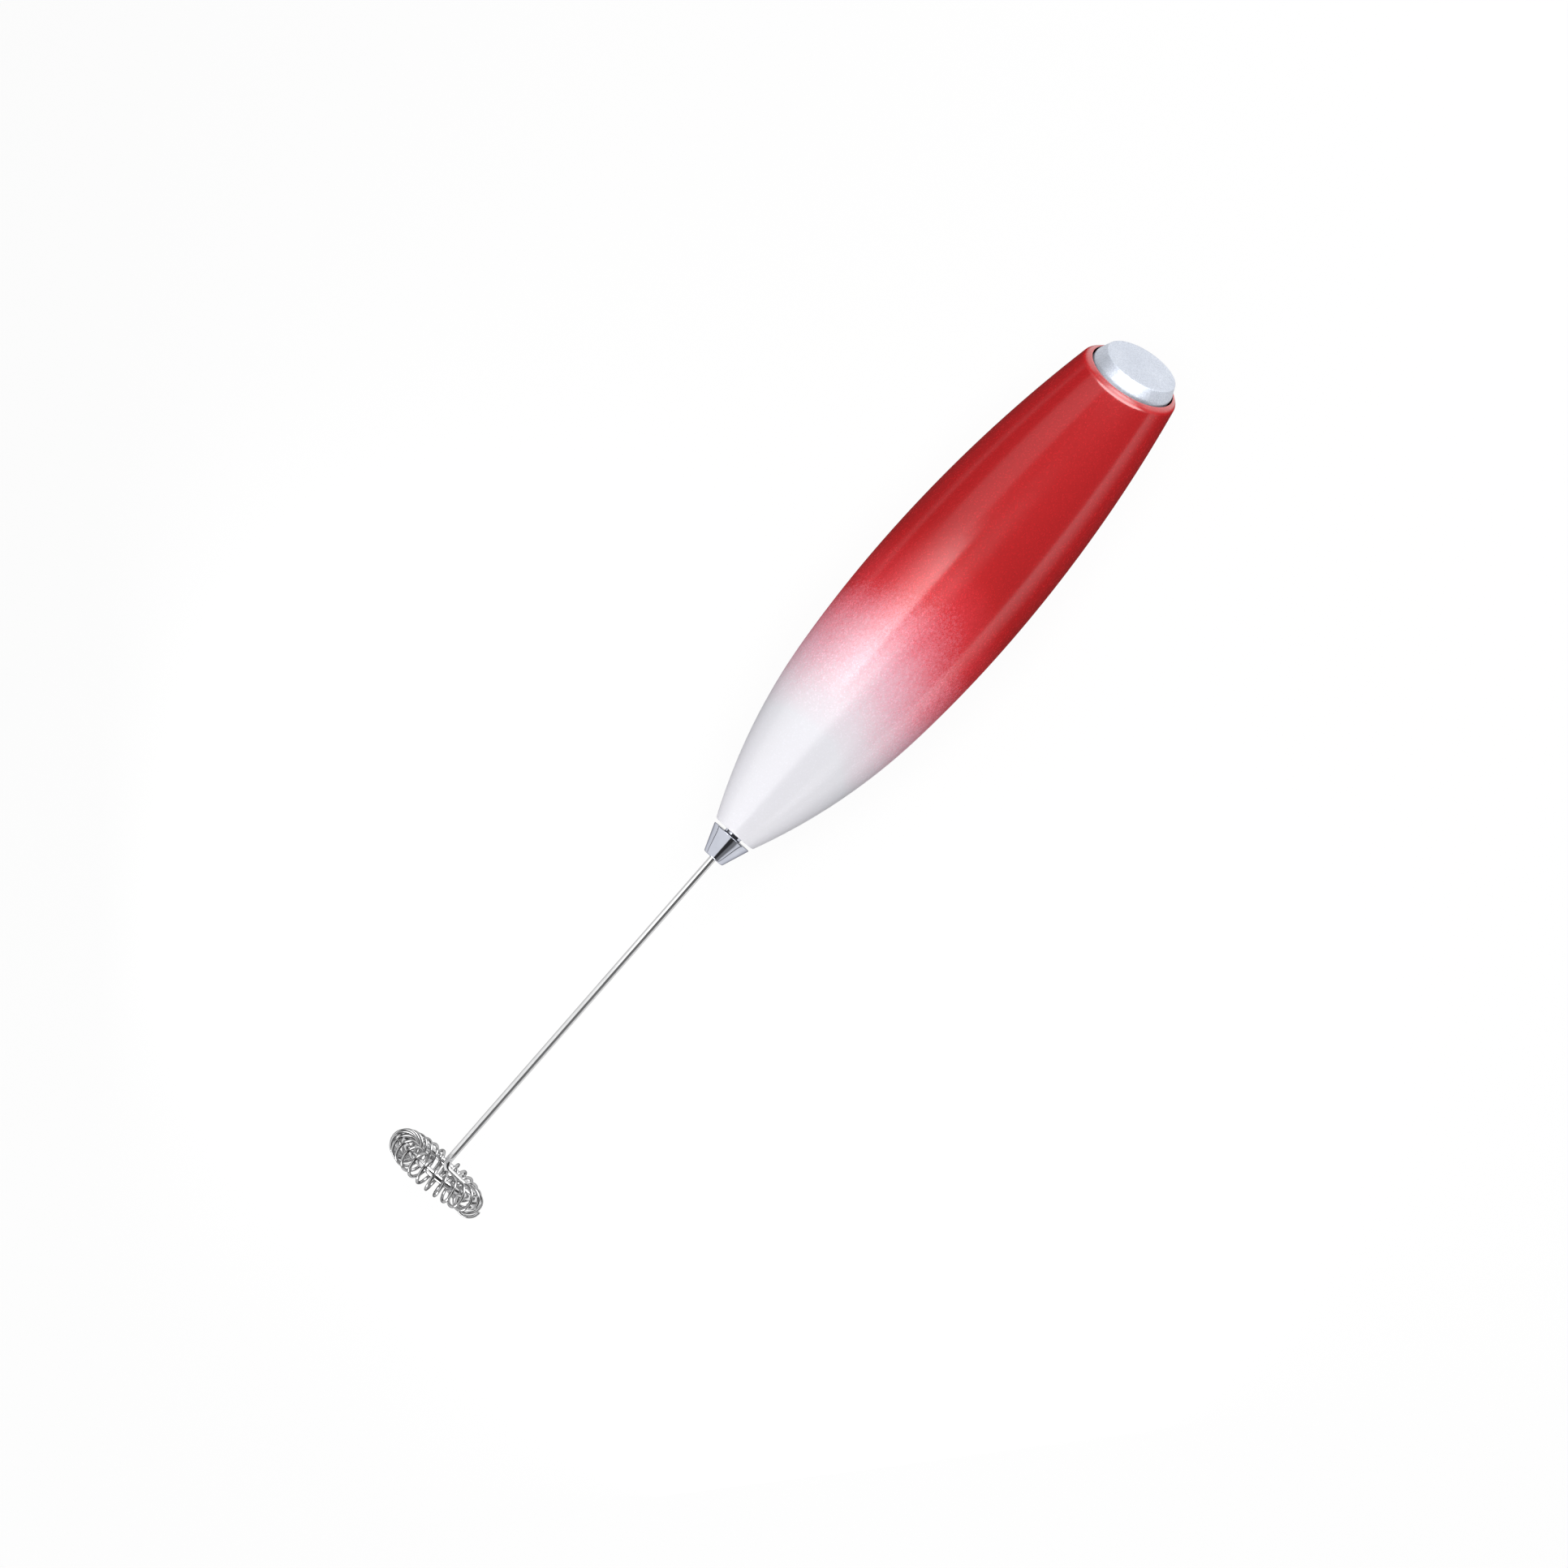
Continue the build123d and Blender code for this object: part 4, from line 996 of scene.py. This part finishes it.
def collar():
    """Chrome collar: a cone below the nose with its neck running up to the motor."""
    low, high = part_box("drive_collar")
    tip, neck_end = low.x / MM, high.x / MM
    socket_end, bore_end = tip + SOCKET_DEPTH, neck_end - BORE_DEPTH
    corners = [
        (socket_end, 0.0), (socket_end, SOCKET_RADIUS), (tip, SOCKET_RADIUS), (tip, TIP_RADIUS),
        (CONE_TOP, CONE_RADIUS), (CONE_TOP, NECK_RADIUS), (neck_end, NECK_RADIUS),
        (neck_end, BORE_RADIUS), (bore_end, BORE_RADIUS), (bore_end, 0.0),
    ]
    sizes = [0, 0, 0.12, 0.3, 0.35, 0.2, 0.15, 0.08, 0, 0]
    shape = lathe(divided(profile(corners, sizes), LONGEST_RUN), COLLAR_TURNS)
    make_object("collar_cone", shape, chrome_material, "rotor", "drive_collar", 50.0)


# Whisk

WIRE_RADIUS = 0.8
RING_RADIUS = 10.8
RING_PITCH = 2.1
RING_TURN = math.radians(372.0)
ELBOW_RADIUS = 1.9
ARM_BEND = 2.6
SHAFT_LENGTH = 90.0
COIL_WIRE = 0.35
COIL_RADIUS = 2.75
COIL_TURNS = 26
COIL_START = math.radians(18.0)
COIL_END = math.radians(347.0)
COIL_SEAT = 0.3
COIL_SHIFT = (COIL_RADIUS - COIL_WIRE - WIRE_RADIUS - COIL_SEAT) * math.sqrt(0.5)
ARM_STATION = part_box("drive_collar")[0].x / MM - SHAFT_LENGTH
SHAFT_STEPS = 60
ELBOW_STEPS = 14
ARM_STEPS = 8
BEND_STEPS = 9
RING_STEPS = 220
WIRE_SIDES = 24
COIL_STEPS = COIL_TURNS * 56
COIL_SIDES = 14


def ring_point(turn):
    """Centre line of the whisk's ring."""
    return Vector((
        ARM_STATION - RING_PITCH * turn / (2 * math.pi),
        -RING_RADIUS * math.cos(turn),
        RING_RADIUS * math.sin(turn),
    ))


def ring_way(turn):
    """Direction of the ring's centre line."""
    fall = RING_PITCH / (2 * math.pi)
    return Vector((-fall, RING_RADIUS * math.sin(turn), RING_RADIUS * math.cos(turn))).normalized()


def arc_points(start, way, end, count):
    """Points on the arc that leaves start in the given direction and ends at end."""
    chord = end - start
    across = chord - way * chord.dot(way)
    if across.length < 1e-6:
        return [start + chord * (step / count) for step in range(1, count + 1)]
    across.normalize()
    radius = chord.dot(chord) / (2 * chord.dot(across))
    centre = start + across * radius
    angle = math.atan2((end - centre).dot(way), -(end - centre).dot(across))
    if angle < 0:
        angle += 2 * math.pi
    points = []
    for step in range(1, count + 1):
        part = angle * step / count
        points.append(centre + way * (radius * math.sin(part)) - across * (radius * math.cos(part)))
    return points


def biarc_points(start, start_way, end, end_way, count):
    """Points on two arcs that meet tangentially between two given ends."""
    chord = end - start
    ways = start_way + end_way
    spread = 2 * (1 - start_way.dot(end_way))
    along = chord.dot(ways)
    reach = (math.sqrt(along**2 + spread * chord.dot(chord)) - along) / spread
    middle = (start + end + (start_way - end_way) * reach) * 0.5
    first = arc_points(start, start_way, middle, count)
    turned = arc_points(end, -end_way, middle, count)
    return first + turned[-2::-1] + [end]


def wire():
    """Whisk wire: shaft, elbow, arm and the ring that the coil is threaded on."""
    wire_end = Vector((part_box("whisk_wire")[1].x / MM, 0, 0))
    elbow = Vector((ARM_STATION + ELBOW_RADIUS, 0, 0))
    arm = Vector((ARM_STATION, -ELBOW_RADIUS, 0))
    arm_end = Vector((ARM_STATION, ARM_BEND - RING_RADIUS, 0))
    bend = ARM_BEND / RING_RADIUS
    path = [wire_end.lerp(elbow, step / SHAFT_STEPS) for step in range(SHAFT_STEPS + 1)]
    path += arc_points(elbow, Vector((-1, 0, 0)), arm, ELBOW_STEPS)
    path += [arm.lerp(arm_end, step / ARM_STEPS) for step in range(1, ARM_STEPS + 1)]
    path += biarc_points(arm_end, Vector((0, -1, 0)), ring_point(bend), ring_way(bend), BEND_STEPS)
    for step in range(1, RING_STEPS + 1):
        path.append(ring_point(bend + (RING_TURN - bend) * step / RING_STEPS))
    path[0] -= Vector((WIRE_RADIUS, 0, 0))
    shape = tube(path, WIRE_RADIUS, WIRE_SIDES)
    make_object("whisk_rod", shape, wire_material, "rotor", "whisk_wire", 60.0)


def coil():
    """Fine spring wound round the whisk's ring, hanging on its wire."""
    path = []
    for step in range(COIL_STEPS + 1):
        share = step / COIL_STEPS
        turn = COIL_START + (COIL_END - COIL_START) * share
        curl = 2 * math.pi * COIL_TURNS * share
        outward = Vector((0, -math.cos(turn), math.sin(turn)))
        middle = ring_point(turn) - outward * COIL_SHIFT - Vector((COIL_SHIFT, 0, 0))
        reach = outward * (COIL_RADIUS * math.cos(curl))
        path.append(middle + reach + Vector((COIL_RADIUS * math.sin(curl), 0, 0)))
    shape = tube(path, COIL_WIRE, COIL_SIDES)
    make_object("whisk_spring", shape, coil_material, "rotor", "whisk_coil", 60.0)


housing()
cover()
button()
collar()
wire()
coil()


# Floor, light and camera

ROLL = math.radians(9.0)
TO_CAMERA = Vector((0.0, -math.sin(ROLL), math.cos(ROLL)))
SIDEWAYS = Vector((0.0, -math.cos(ROLL), -math.sin(ROLL)))
LENGTHWAYS = Vector((1.0, 0.0, 0.0))
PHOTO_LEAN = (0.65843, 0.75264)  # where the handle's axis points in the picture: right and up
COVER_ROOM = 0.0305  # the floor lies low enough for the cover to come off downwards
FLOOR_LEVEL = cad_box[0][2] - COVER_ROOM
FLOOR_SIZE = 6.0  # from the middle to each side
SKY_GLOW = 0.04
BACKDROP_GLOW = 0.9
FLOOR_GLOW = 0.89  # lifts the seen floor to white and keeps the shadow


def placed(right, up, back, place):
    """Matrix for an object with the given axes at a place."""
    return Matrix([*zip(right, up, back, place), (0, 0, 0, 1)])


def floor():
    """Wide level floor, dim in the light of the lamps and white where it is seen."""
    mesh = bpy.data.meshes.new("floor")
    corners = ((-1, -1), (1, -1), (1, 1), (-1, 1))
    points = [(x * FLOOR_SIZE, y * FLOOR_SIZE, FLOOR_LEVEL) for x, y in corners]
    mesh.from_pydata(points, [], [(0, 1, 2, 3)])
    shader = Shader(
        "floor_white", Roughness=0.6, Specular_IOR_Level=0.0, Emission_Color=(1.0, 1.0, 1.0, 1.0)
    )
    cloud = shader.noise(2.0, 2.0)
    shader.feed("Base Color", shader.ramp(
        cloud, [(0.3, (0.105, 0.105, 0.105)), (0.7, (0.115, 0.115, 0.115))]
    ))
    seen = shader.seen_rays("Camera", "Glossy", "Transmission")
    shader.feed("Emission Strength", shader.times(seen, FLOOR_GLOW))
    mesh.materials.append(shader.material)
    added("floor", mesh)


def softbox(
    name, station, way, distance, width, length, glow, matt=True, gloss=True, shape="RECTANGLE"
):
    """Lamp lying along the handle and aimed at a station, for matt surfaces, for gloss or for both."""
    lamp = bpy.data.lights.new(name, "AREA")
    lamp.shape = shape
    lamp.size = length
    lamp.size_y = width
    area = width * length * (math.pi / 4 if shape == "ELLIPSE" else 1.0)
    lamp.energy = glow * math.pi * area
    aim = Vector((station, 0.0, 0.0))
    middle = aim + way * distance
    back = (middle - aim).normalized()
    along = (LENGTHWAYS - back * LENGTHWAYS.dot(back)).normalized()
    obj = added(name, lamp)
    obj.matrix_world = placed(along, back.cross(along), back, middle)
    obj.visible_camera = False
    obj.visible_diffuse = matt
    obj.visible_glossy = gloss


def direction(angle):
    """Direction tilted from the camera's by an angle in degrees, to the picture's right if positive."""
    turn = math.radians(angle)
    return TO_CAMERA * math.cos(turn) + SIDEWAYS * math.sin(turn)


def lengthwise(angle):
    """Direction tilted from the camera's by an angle in degrees, to the button's end if positive."""
    turn = math.radians(angle)
    return TO_CAMERA * math.cos(turn) + LENGTHWAYS * math.sin(turn)


def panel(angle, rise):
    """Direction at an angle to the picture's right, raised to the button's end by another."""
    turn = math.radians(rise)
    return direction(angle) * math.cos(turn) + LENGTHWAYS * math.sin(turn)


LAMP_DISTANCE = 0.8
FRONT_DISTANCE = 0.9
# Strips that make one softbox fading to the left: from and to an angle, and brightness
STRIPS = (
    (-19, -25, 2.1), (-25, -31, 1.95), (-31, -38, 1.6), (-38, -46, 1.2),
    (-46, -54, 0.85), (-54, -63, 0.5), (-63, -73, 0.25), (-73, -84, 0.1),
)
STRIP_STATION = 0.056
STRIP_LENGTH = 0.328
# Fills close to the nose, one on each side: name, angle and brightness
FILLS = (("fill_right", 75, 1.25), ("fill_left", -75, 2.0))
FILL_STATION = 0.012
FILL_DISTANCE = 0.15
FILL_SIZE = 0.12


def lights():
    """Softboxes in front and past both ends, strips for the left side's gloss, fills for the nose."""
    softbox("softbox_front", 0.06, direction(0), FRONT_DISTANCE, 0.4, 0.6, 6.2, gloss=False)
    softbox("softbox_crown", 0.13, lengthwise(61), LAMP_DISTANCE, 1.05, 0.62, 3.8, shape="ELLIPSE")
    softbox("softbox_whisk", 0.0, lengthwise(-72), LAMP_DISTANCE, 0.45, 0.3, 5.0)
    for start, end, glow in STRIPS:
        width = 2 * LAMP_DISTANCE * math.tan(math.radians((start - end) / 2))
        way = direction((start + end) / 2)
        softbox(
            f"strip{start}", STRIP_STATION, way, LAMP_DISTANCE, width, STRIP_LENGTH, glow, matt=False
        )
    softbox("strip_tail", 0.10, panel(-51, 28), LAMP_DISTANCE, 0.55, 0.55, 0.3, matt=False)
    for name, angle, glow in FILLS:
        way = panel(angle, -40)
        softbox(name, FILL_STATION, way, FILL_DISTANCE, FILL_SIZE, FILL_SIZE, glow, gloss=False)


def surroundings():
    """Dim pale walls that only the gloss shows, and a pale backdrop for the camera."""
    world = bpy.data.worlds.new("studio")
    bpy.context.scene.world = world
    world.use_nodes = True
    sky = Nodes(world.node_tree, "Generated")
    length = sky.along(LENGTHWAYS)
    side = sky.along(SIDEWAYS)
    crown_wall = sky.span(length, 0.55, 0.85, 0.0, 0.85, smooth=True)
    whisk_end = sky.span(length, 0.03, -0.09, smooth=True)
    left_wall = sky.span(side, 0.06, -0.04, 0.0, 1.0, smooth=True)
    right_haze = sky.span(side, 0.3, 0.45, 0.0, 0.2, smooth=True)
    right_edge = sky.span(side, 0.62, 0.72, 0.0, 0.65)
    right_wall = sky.times(right_edge, sky.span(length, -0.25, -0.4))
    walls = sky.math("ADD", left_wall, sky.math("ADD", right_haze, right_wall))
    walls = sky.times(walls, whisk_end, crown_wall)
    walls = sky.times(walls, sky.span(length, -0.97, -0.88, smooth=True))
    # A dark gap is left between the walls and the floor
    walls = sky.times(walls, sky.span(sky.axis("Z"), 0.03, 0.10, smooth=True))
    back = world.node_tree.nodes["Background"]
    back.inputs["Color"].default_value = (1.0, 1.0, 1.0, 1.0)
    strength = sky.times(walls, sky.seen_rays("Glossy", "Transmission"), SKY_GLOW)
    backdrop = sky.times(sky.seen_rays("Camera"), BACKDROP_GLOW)
    sky.put(back.inputs["Strength"], sky.math("MAXIMUM", strength, backdrop))


CAMERA_TARGET = Vector((0.0154, 0.0, 0.0)) + SIDEWAYS * 0.00104
CAMERA_DISTANCE = 0.5179
FOCAL_LENGTH = 54.04


def camera():
    """Camera at the photograph's viewing angle and framing."""
    lens = bpy.data.cameras.new("camera")
    lens.sensor_fit = "HORIZONTAL"
    lens.sensor_width = 36.0
    lens.lens = FOCAL_LENGTH
    lens.clip_start = 0.01
    lens.clip_end = 50.0
    right = LENGTHWAYS * PHOTO_LEAN[0] + SIDEWAYS * PHOTO_LEAN[1]
    up = LENGTHWAYS * PHOTO_LEAN[1] - SIDEWAYS * PHOTO_LEAN[0]
    obj = added("camera", lens)
    obj.matrix_world = placed(right, up, TO_CAMERA, CAMERA_TARGET + TO_CAMERA * CAMERA_DISTANCE)
    bpy.context.scene.camera = obj


floor()
lights()
surroundings()
camera()
bpy.context.scene.view_settings.view_transform = "Standard"
